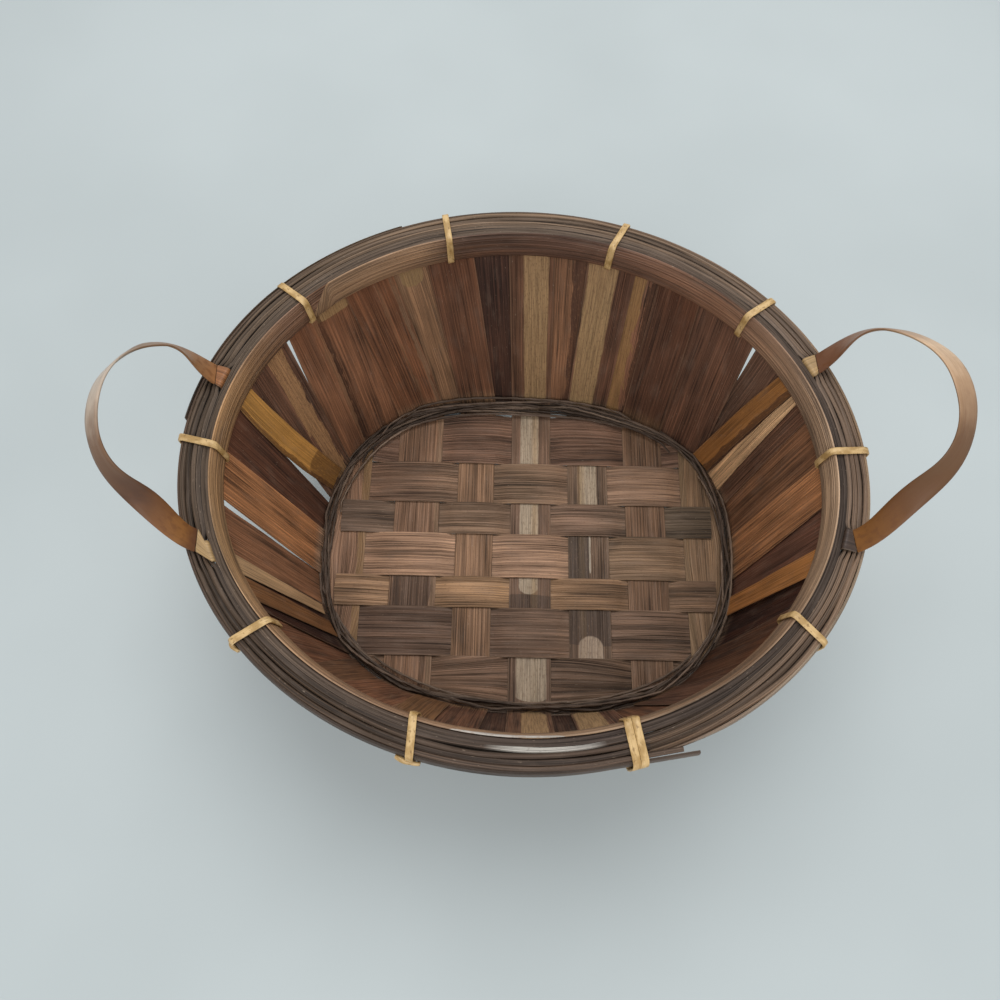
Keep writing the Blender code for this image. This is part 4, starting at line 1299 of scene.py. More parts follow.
@dataclass
class Rim:
    """The rim: two hoops, the wound rods between them and the lashings.

    Attributes:
        form: The basket's sizes.
        hoop, outer, rods, packing, cane: Materials of the inner hoop, the outer hoop, the rods, the reeds over
            the stave tops and the lashings.
        tie_*: A lashing's width, thickness, space from what it binds, rounded corners, and the swell of the
            double one.
        tails, straight: The straight cut ends of the rods, and the degrees by which they end before the seam.
        loose_*, low_squeeze: The rods' insets and width away from the tucks, and the lower tier's squeeze.
        start_after_tie, climb_*: Degrees from the seam to the rods' start and climb, and those that it takes.
        packing_*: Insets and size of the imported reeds.
        overlap, tuck_angles: Angles of the outer hoop's lap and of the straps' tucked ends.
        outer_*: Degrees from the seam to the outer hoop's start and end, and its straight end's length.
        scarf_*: Degrees of the hoops' thin starts, the inner hoop's joint, its lap and its slanting cut.
        double, slants, ties: The lashing with two turns over the seam, each one's lean, and their angles.
    """

    form: BasketForm
    hoop: Material
    outer: Material
    rods: tuple[Material, ...]
    packing: Material
    cane: Material
    tie_width: float = 0.0040
    tie_thickness: float = 0.0014
    tie_clearance: float = -0.0001
    tie_corner: float = 0.0030
    tie_swell: float = 0.0012
    tails: Floats = (0.037, 0.009, 0.004, 0.003)
    loose_lanes: Floats = (0.0037, 0.0065, 0.0093, 0.0121)
    loose_width: float = 0.0030
    low_squeeze: float = 0.0004
    straight: Floats = (5.0, 1.0, 0.0, 0.0)
    start_after_tie: float = 15.0
    climb_after_tie: float = 5.0
    climb_turn: float = 22.0
    packing_insets: Floats = (0.0140, 0.0162)
    packing_size: Pair = (0.0029, 0.0023)
    overlap: Pair = (116.0, 176.5)
    tuck_angles: Floats = (166.5, 204.8, -14.8, 24.5)
    outer_after_tie: float = 4.5
    outer_before_tie: float = 6.0
    outer_tail: float = 0.048
    scarf_turn: float = 10.0
    scarf_angle: float = 142.6
    scarf_lap: float = 7.0
    scarf_cut: float = 6.5
    double: str = "front_right"
    slants: Floats = (0.0, 0.002, 0.0035, 0.001, -0.002, 0.0035, 0.003, -0.004, 0.001, 0.002)
    ties: tuple[tuple[str, float], ...] = (
        ("right", 4.6), ("back_right_corner", 41.1), ("back_right", 73.2), ("back_left", 107.6),
        ("back_left_corner", 142.4), ("left", 181.4), ("front_left_corner", 222.7), ("front_left", 255.3),
        ("front_right", 290.0), ("front_right_corner", 325.7),
    )

    @property
    def seam(self) -> float:
        """Angle of the double lashing, beside which the rods and the outer hoop begin."""
        return dict(self.ties)[self.double]

    def build(self) -> list[Piece]:
        """Build the hoops, the rods and the lashings.

        Returns:
            The pieces.
        """
        pieces = [self.inner_hoop(), self.outer_hoop()]
        pieces += [self.rod(lane) for lane in range(self.form.rod_lanes)]
        pieces += [self.packing_reed(0), self.packing_reed(1), self.overlapped_end()]
        pieces += [self.lashing(index, name, angle) for index, (name, angle) in enumerate(self.ties)]
        pieces.append(self.cane_end("rim_cane_end_front", 255.3, -0.0052, 0.0125))
        pieces.append(self.cane_end("rim_cane_end_corner", 222.7, -0.0035, 0.0065))
        return pieces

    def inner_hoop(self) -> Piece:
        """Build the broad inner hoop, whose inner end is cut to a point over the scarf.

        Returns:
            The piece.
        """
        form = self.form
        steps, faces = 420, 14
        turn = 360.0 + self.scarf_lap
        step_in, step_turn, waver = 0.0007, 3.0, 0.00015
        frames = []
        for run in spaced(0.0, turn, steps):
            degrees = self.scarf_angle - self.scarf_lap + run
            over = eased((degrees - self.scarf_angle - 360 + self.scarf_lap) / step_turn)
            inset = form.hoop_outside + step_in * over + waver * (1 + wander(3.3, math.radians(degrees), 0.5))
            frames.append(form.rim_frame(degrees, inset, form.hoop_low))

        def section(share: float) -> Pairs:
            """Shape the hoop's section, thin at both ends and cut slantwise at its inner end.

            Args:
                share: Place along the run, 0 to 1.

            Returns:
                The section's outline.
            """
            run = turn * share
            full = min(1.0, 0.35 + 0.65 * run / 10.0, 0.3 + 0.7 * (turn - run) / 7.0)
            thick = form.inner_hoop * full * (0.92 + 0.08 * wander(4.1, share, 0.02))
            height = form.inner_hoop_height * min(1.0, 0.06 + 0.94 * (turn - run) / self.scarf_cut)
            foot, lean = -form.hoop_low_inset, form.slope * height
            shape = [(foot, 0.0), (foot + lean, height)]
            for i in range(faces + 1):
                climb = 1 - i / faces
                shape.append((foot + lean * climb - thick * crowned(climb, 0.6), height * climb))
            return shape

        return dressed(sweep("rim_broad_hoop", frames, section, self.hoop, 3.0), "rim_hoop", "rim_inner_hoop")

    def outer_hoop(self) -> Piece:
        """Build the narrow outer hoop, thin at its start, with a straight end.

        Returns:
            The piece.
        """
        form = self.form
        steps, tail_steps, faces, clear = 360, 12, 10, 0.00006
        start, end = self.seam + self.outer_after_tie, self.seam + 360 - self.outer_before_tie
        height, inset = form.outer_hoop_height, form.outer_hoop + clear
        frames = [form.rim_frame(degrees, inset, form.outer_low) for degrees in spaced(start, end, steps)]
        frames += straight_end(frames[-1], self.outer_tail, tail_steps)

        def section(share: float) -> Pairs:
            """Shape the hoop's section, thin at its start.

            Args:
                share: Place along the run, 0 to 1.

            Returns:
                The section's outline.
            """
            thick = form.outer_hoop * min(1.0, 0.4 + 0.6 * (end - start) * share / self.scarf_turn)
            crown = [(thick * crowned(climb, 0.5), height * climb) for climb in spaced(0.0, 1.0, faces)]
            return [(0.0, height), (0.0, 0.0), *crown]

        return dressed(sweep("rim_narrow_hoop", frames, section, self.outer, 5.0), "rim_hoop", "rim_outer_hoop")

    def rod(self, lane: int) -> Piece:
        """Build one rod: a low turn, a climb and a high turn, with a cut tail.

        Args:
            lane: The rod's lane, from the outside.

        Returns:
            The piece.
        """
        form = self.form
        steps, tail_steps, tail_taper, faces = 900, 5, 0.97, 12
        high = form.rim_top - form.rod_height / 2
        low = high - form.rod_height - form.rod_own_gap
        start, end = self.seam + self.start_after_tie, self.seam + 720 - self.straight[lane]
        climb = self.seam + 360 + self.climb_after_tie
        tight = form.first_rod + lane * form.rod_pitch
        frames, wide = [], []
        for degrees in spaced(start, end, steps):
            share = eased((degrees - climb) / self.climb_turn)
            free = self.beside_tucks(degrees)
            run = math.radians(degrees) * RIM_RADIUS
            loose = self.loose_lanes[lane] - self.low_squeeze * lane * (1 - share)
            loose += 0.0006 * wander(1.3 + lane * 0.35, run, 0.05)
            inset = tight + (loose - tight) * free + 0.0003 * wander(lane + 2.7, run, 0.03)
            lift = 0.00045 * wander(lane + 5.9, run, 0.04) * share - 0.00035
            wide.append(1 + (self.loose_width / form.rod_width - 1) * free)
            frames.append(form.rim_frame(degrees, inset, low + (high - low) * share + lift, inset))
        frames += straight_end(frames[-1], self.tails[lane], tail_steps)
        for _ in range(tail_steps):
            wide.append(wide[-1] * tail_taper)
        last = len(frames) - 1

        def section(share: float) -> Pairs:
            """Shape the rod's section, split flat on one side and uneven along its run.

            Args:
                share: Place along the run, 0 to 1.

            Returns:
                The section's outline.
            """
            run = share * REED_RUN
            full = wide[round(share * last)] * (1.0 + 0.16 * wander(lane + 9.1, run, 0.06))
            full *= min(1.0, 0.3 + share * 40)
            tall = 1.0 + 0.1 * wander(lane + 4.1, run, 0.05)
            roll = 0.5 * wander(lane + 6.6, run, 0.12)
            cos, sin = math.cos(roll), math.sin(roll)
            shape = []
            for i in range(faces):
                angle = 2 * math.pi * i / faces
                side = form.rod_width * full / 2 * math.cos(angle)
                rise = form.rod_height * tall / 2 * math.sin(angle) + 0.00025 * math.cos(3 * angle + lane)
                shape.append((side * cos - rise * sin * 0.4, rise * cos + side * sin * 0.3))
            return shape

        piece = sweep(f"rim_wound_rod_{lane + 1}", frames, section, self.rods[lane], 11.0 + lane * 3.3)
        return dressed(piece, "rim_rod", f"rim_rod_{lane + 1}")

    def packing_reed(self, number: int) -> Piece:
        """Build one of the thin reeds pushed in over the stave tops, beside the inner hoop.

        Args:
            number: Which of the two, from the outside.

        Returns:
            The piece.
        """
        form = self.form
        steps, faces, whole_turn, before_seam, drop = 520, 10, 361.0, 1.5, 0.0021
        frames = []
        for turned in spaced(0.0, whole_turn, steps):
            degrees = self.seam - before_seam + turned
            run = math.radians(degrees) * RIM_RADIUS
            inset = self.packing_insets[number] + 0.0004 * wander(31.0 + number * 7, run, 0.04)
            z = form.rim_top - drop + 0.0006 * wander(33.0 + number * 5, run, 0.05)
            frames.append(form.rim_frame(degrees, inset, z, inset))

        def section(share: float) -> Pairs:
            """Return the reed's uneven oval section."""
            full = 1.0 + 0.16 * wander(35.0 + number, share * REED_RUN, 0.07)
            return oval(self.packing_size[0] * full, self.packing_size[1] * full, faces)

        piece = sweep(f"rim_packing_reed_{number + 1}", frames, section, self.packing, 27.0 + number)
        return dressed(piece, "rim_rod")

    def overlapped_end(self) -> Piece:
        """Build the free end of the outer hoop where it laps over itself at the left.

        Returns:
            The piece.
        """
        form = self.form
        steps, full_thickness, clear = 90, 0.0012, 0.0001
        height = form.outer_hoop_height
        frames = [form.rim_frame(degrees, -clear, form.outer_low) for degrees in spaced(*self.overlap, steps)]

        def section(share: float) -> Pairs:
            """Shape the lap's section, thin where it begins.

            Args:
                share: Place along the run, 0 to 1.

            Returns:
                The section's outline.
            """
            thick = full_thickness * min(1.0, 0.1 + 0.9 * share / 0.5)
            face = [(thick * 0.8, 0.002), (thick, height * 0.5), (thick * 0.7, height * 0.94)]
            return [(0.0, height * 0.98), (0.0, 0.001), *face]

        return dressed(sweep("rim_narrow_hoop_lap", frames, section, self.outer, 8.0), "rim_hoop")

    def beside_tucks(self, degrees: float) -> float:
        """Return 0 where a strap's end squeezes the rods and 1 well away from it."""
        away = min(abs((degrees - tuck + 180) % 360 - 180) for tuck in self.tuck_angles)
        return eased((away - 2.1) / 2.2)

    def tie_path(self, swell: float) -> Pairs:
        """Return a lashing's rounded path round the rim's section, as (inset, height).

        Args:
            swell: How far its outer side stands further out.

        Returns:
            The points of the path.
        """
        form = self.form
        off = self.tie_clearance + self.tie_thickness / 2
        inside = form.hoop_outside + form.inner_hoop + form.curve_allowance
        under = form.hoop_low - off
        corners = [
            Vector((-off - swell, form.outer_low - off)),
            Vector((-off - swell, form.rim_top + off)),
            Vector((inside + off, form.rim_top + off)),
            Vector((inside + form.hoop_low_inset + off, under)),
            Vector((form.hoop_outside - form.gap, under)),
        ]
        path = []
        for index, corner in enumerate(corners):
            before = (corners[index - 1] - corner).normalized() * self.tie_corner
            after = (corners[(index + 1) % len(corners)] - corner).normalized() * self.tie_corner
            path += [tuple(p) for p in rounded(corner + before, corner, corner + after, spaced(0.0, 1.0, 4))]
        return path

    def lashing(self, index: int, name: str, degrees: float) -> Piece:
        """Build one lashing of flat cane.

        Args:
            index: Number of the lashing, which varies its lean.
            name: Its place, as in its CAD node's name.
            degrees: Its angle round the rim.

        Returns:
            The piece.
        """
        form = self.form
        double = name == self.double
        loop = self.tie_path(self.tie_swell if double else 0.0)
        last, first = Vector(loop[-1]), Vector(loop[0])
        seam = last + (first - last) * 0.72
        half_gap = (first - last).normalized() * (0.0 if double else 0.0004)
        pitch = self.tie_width * 1.04
        path: list[tuple[float, float, float]] = []
        for start, end in ((-pitch, 0.0), (0.0, pitch)) if double else ((0.0, 0.0),):
            whole = [*([] if path else [tuple(seam + half_gap)]), *loop, tuple(seam - half_gap)]
            path += [(x, z, slide) for (x, z), slide in zip(whole, spaced(start, end, len(whole) - 1))]
        origin, outward, up = form.rim_frame(degrees, 0.0, 0.0)
        tangent = up.cross(outward)
        points = []
        for x, z, slide in path:
            lean = self.slants[index] * (x - form.hoop_outside / 2) / form.hoop_outside
            points.append(origin - outward * x + up * z + tangent * (slide + lean))
        frames = []
        for k, point in enumerate(points):
            ahead = (points[min(k + 1, len(points) - 1)] - points[max(k - 1, 0)]).normalized()
            side = (tangent - ahead * tangent.dot(ahead)).normalized()
            frames.append((point, side, ahead.cross(side).normalized()))
        half, thick = self.tie_width / 2, self.tie_thickness / 2
        shape = [(-half, -thick * 0.5), (-half * 0.8, -thick), (half * 0.8, -thick), (half, -thick * 0.5)]
        shape += [(half * math.cos(a), thick * math.sin(a)) for a in (0.3, 0.75, 1.25, 1.89, 2.39, 2.84)]

        def section(share: float) -> Pairs:
            """Return the cane's half-round section."""
            full = 1.0 + 0.12 * wander(index + 0.3, share, 0.12)
            return [(s * full, u) for s, u in shape]

        piece = sweep(f"rim_lashing_{name}", frames, section, self.cane, 21.0 + index * 1.9)
        return dressed(piece, "cane_lashing", f"lashing_{name}")

    def cane_end(self, name: str, degrees: float, slide: float, reach: float) -> Piece:
        """Build the short cut end of a lashing that shows below its outer side.

        Args:
            name: The piece's name.
            degrees: Angle round the rim.
            slide: Where it begins along the rim, beside the lashing.
            reach: Its length along the rim.

        Returns:
            The piece.
        """
        form = self.form
        steps, faces, width, height = 8, 12, 0.0030, 0.0042
        frames = []
        for k in range(steps + 1):
            out = 0.0007 + 0.0009 * math.sin(math.pi * k / steps)
            z = form.rim_top - 0.0052 - 0.0012 * k / steps
            origin, outward, up = form.rim_frame(degrees, -out, z)
            frames.append((origin + up.cross(outward) * (slide + reach * k / steps), outward, up))

        def section(share: float) -> Pairs:
            """Return the end's lumpy section."""
            full = 0.75 + 0.25 * math.sin(math.pi * min(share * 1.6, 1.0)) + 0.1 * wander(51.0, share, 0.3)
            return oval(width * full, height * full, faces)

        return dressed(sweep(name, frames, section, self.cane, 57.0), "cane_lashing")


@dataclass(frozen=True)
class Strand:
    """The run of one strand of the twining.

    Attributes:
        start, end: Angles where it begins and ends.
        chords, sag: Straight stretches in a full turn, and how far each cuts inwards.
        rise, inward: Height above the lowest strand, and distance in from the wall.
        phase: Turns the stretches round, as a share of one.
    """

    start: float
    end: float
    chords: int
    sag: float
    rise: float
    inward: float
    phase: float


@dataclass
class Twining:
    """The bundle of dark strands that binds the foot of the wall.

    Attributes:
        form: The basket's sizes.
        strands: The materials, taken in turn.
        diameter: Thickness of a strand.
        runs: The strands.
    """

    form: BasketForm
    strands: tuple[Material, ...]
    diameter: float = 0.0017
    runs: tuple[Strand, ...] = (
        Strand(12.0, 386.0, 9, 0.0052, 0.0, 0.0004, 0.0),
        Strand(-22.0, 345.0, 7, 0.0042, 0.0019, 0.0, 0.35),
        Strand(40.0, 392.0, 11, 0.0034, 0.0012, 0.0018, 0.6),
        Strand(150.0, 498.0, 8, 0.0038, 0.0036, 0.0001, 0.15),
        Strand(96.0, 318.0, 12, 0.0026, 0.0030, 0.0022, 0.8),
        Strand(52.0, 171.0, 6, 0.0040, 0.0004, 0.0058, 0.1),
        Strand(61.0, 139.0, 4, 0.0042, 0.0012, 0.0072, 0.45),
        Strand(44.0, 150.0, 5, 0.0050, 0.0024, 0.0034, 0.7),
        Strand(228.0, 322.0, 5, 0.0034, 0.0006, 0.0040, 0.3),
        Strand(0.0, 360.0, 1, 0.0, -0.0019, -0.0022, 0.0),
        Strand(0.0, 360.0, 1, 0.0, -0.0020, -0.0007, 0.0),
        Strand(0.0, 360.0, 5, 0.0012, -0.0016, 0.0010, 0.0),
        Strand(55.0, 128.0, 3, 0.0020, -0.0014, 0.0024, 0.2),
        Strand(50.0, 133.0, 4, 0.0022, -0.0010, 0.0040, 0.5),
        Strand(-31.0, 24.0, 1, 0.0006, 0.0053, -0.0001, 0.0),
        Strand(60.0, 128.0, 3, 0.0016, 0.0054, -0.0001, 0.0),
    )

    def build(self) -> list[Piece]:
        """Build the strands.

        Returns:
            The pieces.
        """
        pieces = [self.strand_piece(number, strand) for number, strand in enumerate(self.runs)]
        dressed(pieces[0], "twining", "twining")
        return [pieces[0]] + [dressed(piece, "twining") for piece in pieces[1:]]

    def strand_piece(self, number: int, strand: Strand) -> Piece:
        """Build one strand that runs round the foot in shallow chords.

        Args:
            number: Its place in the bundle.
            strand: Its run.

        Returns:
            The piece.
        """
        form = self.form
        faces, twists, squash, end_turn, flare = 9, 34, 0.16, 4.0, 0.0022
        turned = strand.end - strand.start
        base = form.column_level + form.swing + form.splint / 2 + form.layer_gap + self.diameter / 2
        against = form.splint / 2 + form.layer_gap + self.diameter / 2
        frames = []
        for degrees in spaced(strand.start, strand.end, max(40, round(turned * 1.5))):
            run = math.radians(degrees) * FOOT_RADIUS
            chord = (degrees * strand.chords / 360 + strand.phase) % 1.0
            inward = against + strand.inward + strand.sag * 4 * chord * (1 - chord)
            inward += 0.0005 * wander(number + 3.7, run, 0.03)
            z = base + strand.rise + 0.0006 * wander(number + 1.9, run, 0.05) + 0.0003
            ends = min(degrees - strand.start, strand.end - degrees) / end_turn
            inward += flare * max(0.0, 1 - ends) * (1 if number % 2 else 0.2)
            point = form.wall(degrees, z, inward)
            ahead = form.wall(degrees + 0.5, z, inward) - point
            frames.append((point, ahead.cross(UP).normalized(), UP))

        def section(share: float) -> Pairs:
            """Shape the strand's section, which turns along its run as a twist.

            Args:
                share: Place along the run, 0 to 1.

            Returns:
                The section's outline.
            """
            twist = share * turned / 360 * 2 * math.pi * twists
            thin = 0.75 + 0.25 * min(1.0, share * 14, (1 - share) * 14)
            shape = []
            for i in range(faces):
                angle = 2 * math.pi * i / faces
                radius = self.diameter / 2 * thin * (1.0 - squash * math.cos(2 * (angle - twist)))
                shape.append((radius * math.cos(angle), radius * math.sin(angle)))
            return shape

        finish = self.strands[number % len(self.strands)]
        return sweep(f"twining_strand_{number + 1}", frames, section, finish, 40 + number * 1.7)


class Side(Enum):
    """The two ends of the basket."""

    LEFT = "left"
    RIGHT = "right"


@dataclass
class StrapHandle:
    """One strap handle and its two tucked ends.

    Attributes:
        form: The basket's sizes.
        side: Which end of the basket.
        strap, ends: Materials of the loop and of its tucked ends, in the order of the creases.
        creases, rise: Angles of the two creases, and height of the arch along its leaning plane.
        twists, twist_runs: Quarter turns of the strap at its two ends, and lengths over which it turns.
        rolls: Places along the strap, 0 to 1, with the turn of its face there in radians.
        width, thickness: The strap's section.
        lean, skew, roundness: The arch's lean out from upright and sideways, and its power, 2 for an ellipse.
        inset: Inset of the creases from the rim's outline.
        tuck_depth, tuck_bend, drifts: The tucked ends' depth, bend, and shift along the rim at their foot.
    """

    form: BasketForm
    side: Side
    strap: Material
    ends: tuple[Material, Material]
    creases: Pair
    rise: float
    twists: Pair = (-1.0, -1.0)
    twist_runs: Pair = (0.042, 0.08)
    rolls: tuple[Pair, ...] = (
        (0.0, -0.35), (0.2, -0.35), (0.38, 0.25), (0.55, 0.25), (0.72, 0.42), (1.0, 0.42),
    )
    width: float = 0.0125
    thickness: float = 0.0012
    lean: float = math.radians(27.0)
    inset: float = 0.0072
    skew: float = 0.006
    roundness: float = 2.15
    tuck_depth: float = 0.012
    tuck_bend: float = 0.0012
    drifts: Pair = (0.0, 0.0)

    def line(self) -> tuple[Vector, float, Vector, Vector]:
        """Find the crease line.

        Returns:
            Its middle, half length and direction, and the way out of the basket.
        """
        level = self.form.rim_top + self.form.gap + self.thickness / 2
        first, last = (self.form.rim(angle, self.inset, level) for angle in self.creases)
        middle = (first + last) / 2
        along = (last - first).normalized()
        outward = Vector((along.y, -along.x, 0))
        if outward.dot(middle) < 0:
            outward = -outward
        return middle, (last - first).length / 2, along, outward

    def arch(self, share: float) -> Vector:
        """Find a point of the arch.

        Args:
            share: Place along the arch, -1 to 1.

        Returns:
            The point.
        """
        middle, half, along, outward = self.line()
        rise_axis = outward * math.sin(self.lean) + UP * math.cos(self.lean)
        angle = math.pi / 2 * (1 - share)
        power = 2 / self.roundness
        s = math.copysign(abs(math.cos(angle)) ** power, math.cos(angle))
        up = math.sin(angle) ** power if math.sin(angle) > 1e-9 else 0.0
        skew = self.skew * math.sin(math.pi * up) ** 2 * (1 if along.y > 0 else -1)
        return middle + along * (half * s + skew) + rise_axis * self.rise * up

    def build(self) -> list[Piece]:
        """Build the loop and its tucks.

        Returns:
            The pieces.
        """
        return [self.loop(), *self.tucks()]

    def loop(self) -> Piece:
        """Build the twisted strap between the two creases.

        Returns:
            The piece.
        """
        outward = self.line()[3]
        normal = UP * math.sin(self.lean) - outward * math.cos(self.lean)
        fine, steps = 2400, 150
        points = [self.arch(2 * k / fine - 1) for k in range(fine + 1)]
        lengths = [0.0]
        for a, b in zip(points, points[1:]):
            lengths.append(lengths[-1] + (b - a).length)
        total = lengths[-1]
        frames = []
        index = 0
        for target in spaced(0.0, total, steps):
            while index < fine and lengths[index] < target:
                index += 1
            forward = (points[min(index + 4, fine)] - points[max(index - 4, 0)]).normalized()
            first, last = (1 - eased(run / reach) for run, reach in zip((target, total - target), self.twist_runs))
            roll = self.rolls[0][1]
            for (start, before), (end, after) in zip(self.rolls, self.rolls[1:]):
                roll += (after - before) * eased((target / total - start) / (end - start))
            twist = math.pi / 2 * (self.twists[0] * first + self.twists[1] * last) + roll * (1 - first) * (1 - last)
            edge = forward.cross(normal).normalized()
            axis = normal * math.cos(twist) + edge * math.sin(twist)
            frames.append((points[index], axis, forward.cross(axis).normalized()))
        half, thick = self.width / 2, self.thickness / 2
        seed = 2.2 if self.side is Side.LEFT else 6.1

        def section(share: float) -> Pairs:
            """Shape the strap's section, with softened edges and a faintly crowned face.

            Args:
                share: Place along the run, 0 to 1.

            Returns:
                The section's outline.
            """
            w = half * (1.0 + 0.035 * wander(seed, share, 0.15))
            places = (-1.0, -0.94, -0.6, -0.2, 0.2, 0.6, 0.94, 1.0)
            top = [(w * p, thick * (0.35 if abs(p) == 1 else 0.85 + 0.15 * (1 - p * p))) for p in places]
            bottom = [(w * p, -thick * (0.35 if abs(p) == 1 else 1.0)) for p in places]
            return top[::-1] + bottom

        name = f"{self.side.value}_handle"
        piece = sweep(f"{name}_strap", frames, section, self.strap, 50.0)
        return dressed(piece, "handle_strap", name, body=f"{self.side.value}_loop")

    def tucks(self) -> list[Piece]:
        """Build the two tucked ends, over the rods and down behind them.

        Returns:
            The pieces.
        """
        form = self.form
        middle, half, along, outward = self.line()
        names = ("back", "front") if self.side is Side.LEFT else ("front", "back")
        pieces = []
        flat = form.rim_top + form.gap + form.tuck / 2
        lane, bend = form.tuck_lane, self.tuck_bend
        for name, angle, sign, drift, finish in zip(names, self.creases, (-1, 1), self.drifts, self.ends):
            crease = middle + along * half * sign
            step = (form.rim(angle + 1, lane, 0) - form.rim(angle, lane, 0)).length
            shares = spaced(-1.0, 1.0, 8)
            angles = [angle + self.width / 2 / step * share for share in shares]
            inner = [a + drift / step for a in angles]
            turn = 1 if (form.rim(angles[-1], 0, 0) - form.rim(angle, 0, 0)).dot(along) > 0 else -1
            first = []
            for share in shares:
                point = crease + along * self.width / 2 * share * turn - outward * (self.thickness / 2 + form.gap)
                first.append(Vector((point.x, point.y, flat)))
            end_row = [form.rim(a, lane - bend, flat) for a in inner]
            grid = [[a.lerp(b, share) for a, b in zip(first, end_row)] for share in spaced(0.0, 1.0, 4)]
            for t in spaced(0.0, math.pi / 2, 5)[1:-1]:
                inset, z = lane - bend + bend * math.sin(t), flat - bend * (1 - math.cos(t))
                grid.append([form.rim(a, inset, z) for a in inner])
            for depth in spaced(0.0, self.tuck_depth - bend, 5):
                grid.append([form.rim(a, lane, flat - bend - depth) for a in inner])
            node = f"{self.side.value}_handle_tuck_{name}"
            piece = sheet(f"{node}_end", grid, form.tuck, finish, 60 + sign)
            pieces.append(dressed(piece, "handle_strap", node))
        return pieces


# The room


@dataclass
class Studio:
    """A plain pale floor, soft light and the camera.

    Attributes:
        focal: Focal length for a 36 mm wide sensor.
        eye: The camera's place before the row's own shift.
        pitch, yaw, roll: Tilt below level, turn about the vertical and turn about the view, in radians.
    """

    focal: float = 27.72
    eye: tuple[float, float, float] = (-0.003994, -0.176758, 0.534533)
    pitch: float = 1.203
    yaw: float = 0.048
    roll: float = 0.014

    def build(self) -> None:
        """Build the floor, the light and the camera."""
        self.floor()
        self.light()
        self.camera()

    def floor(self) -> None:
        """Build the pale floor."""
        mesh = bpy.data.meshes.new("floor")
        size, depth = 4.0, -0.0002
        corners = [(-size, -size, depth), (size, -size, depth), (size, size, depth), (-size, size, depth)]
        mesh.from_pydata(corners, [], [(0, 1, 2, 3)])
        mesh.materials.append(PlainCard("matt_card_pale_grey", "#C3CBCB", "#BBC3C3").make())
        floor = placed("floor", mesh)

    def light(self) -> None:
        """Build the soft light: an even sky and one large lamp above."""
        world = bpy.data.worlds.new("soft_sky")
        bpy.context.scene.world = world
        world.use_nodes = True
        sky = world.node_tree.nodes["Background"]
        sky.inputs["Color"].default_value = linear("#F2F5F8")
        sky.inputs["Strength"].default_value = 0.7
        lamps = (
            ("lamp_over", (0.05, 0.5, 1.3), (0.0, 0.05, 0.0), 1.0, 8.0),
            ("lamp_front", (0.0, -1.15, 1.1), (0.0, 0.0, 0.08), 1.1, 6.0),
        )
        for name, place, target, size, power in lamps:
            lamp = bpy.data.lights.new(name, "AREA")
            lamp.shape = "DISK"
            lamp.size = size
            lamp.energy = power
            turn = (Vector(target) - Vector(place)).to_track_quat("-Z", "Y").to_matrix().to_4x4()
            placed(name, lamp).matrix_world = Matrix.Translation(place) @ turn

    def camera(self) -> None:
        """Build the camera at the photograph's viewing angle."""
        data = bpy.data.cameras.new("camera")
        data.lens = self.focal
        data.sensor_width = 36.0
        data.clip_start = 0.01
        camera = placed("camera", data)
        turn = Matrix.Rotation(self.yaw, 3, "Z")
        forward = turn @ Vector((0, math.cos(self.pitch), -math.sin(self.pitch)))
        right = turn @ Vector((1, 0, 0))
        up = turn @ Vector((0, math.sin(self.pitch), math.cos(self.pitch)))
        side = right * math.cos(self.roll) + up * math.sin(self.roll)
        top = up * math.cos(self.roll) - right * math.sin(self.roll)
        axes = Matrix((side, top, -forward)).transposed().to_4x4()
        place = Vector(self.eye) + Vector((*FORM.shift, 0))
        camera.matrix_world = Matrix.Translation(place) @ axes
        bpy.context.scene.camera = camera


# The finish of each piece


YOUNG_WOOD = "#B8A48B"
BARK = "#4B3B30"
PAINTED_ROD_SHADE = "#1D1612"
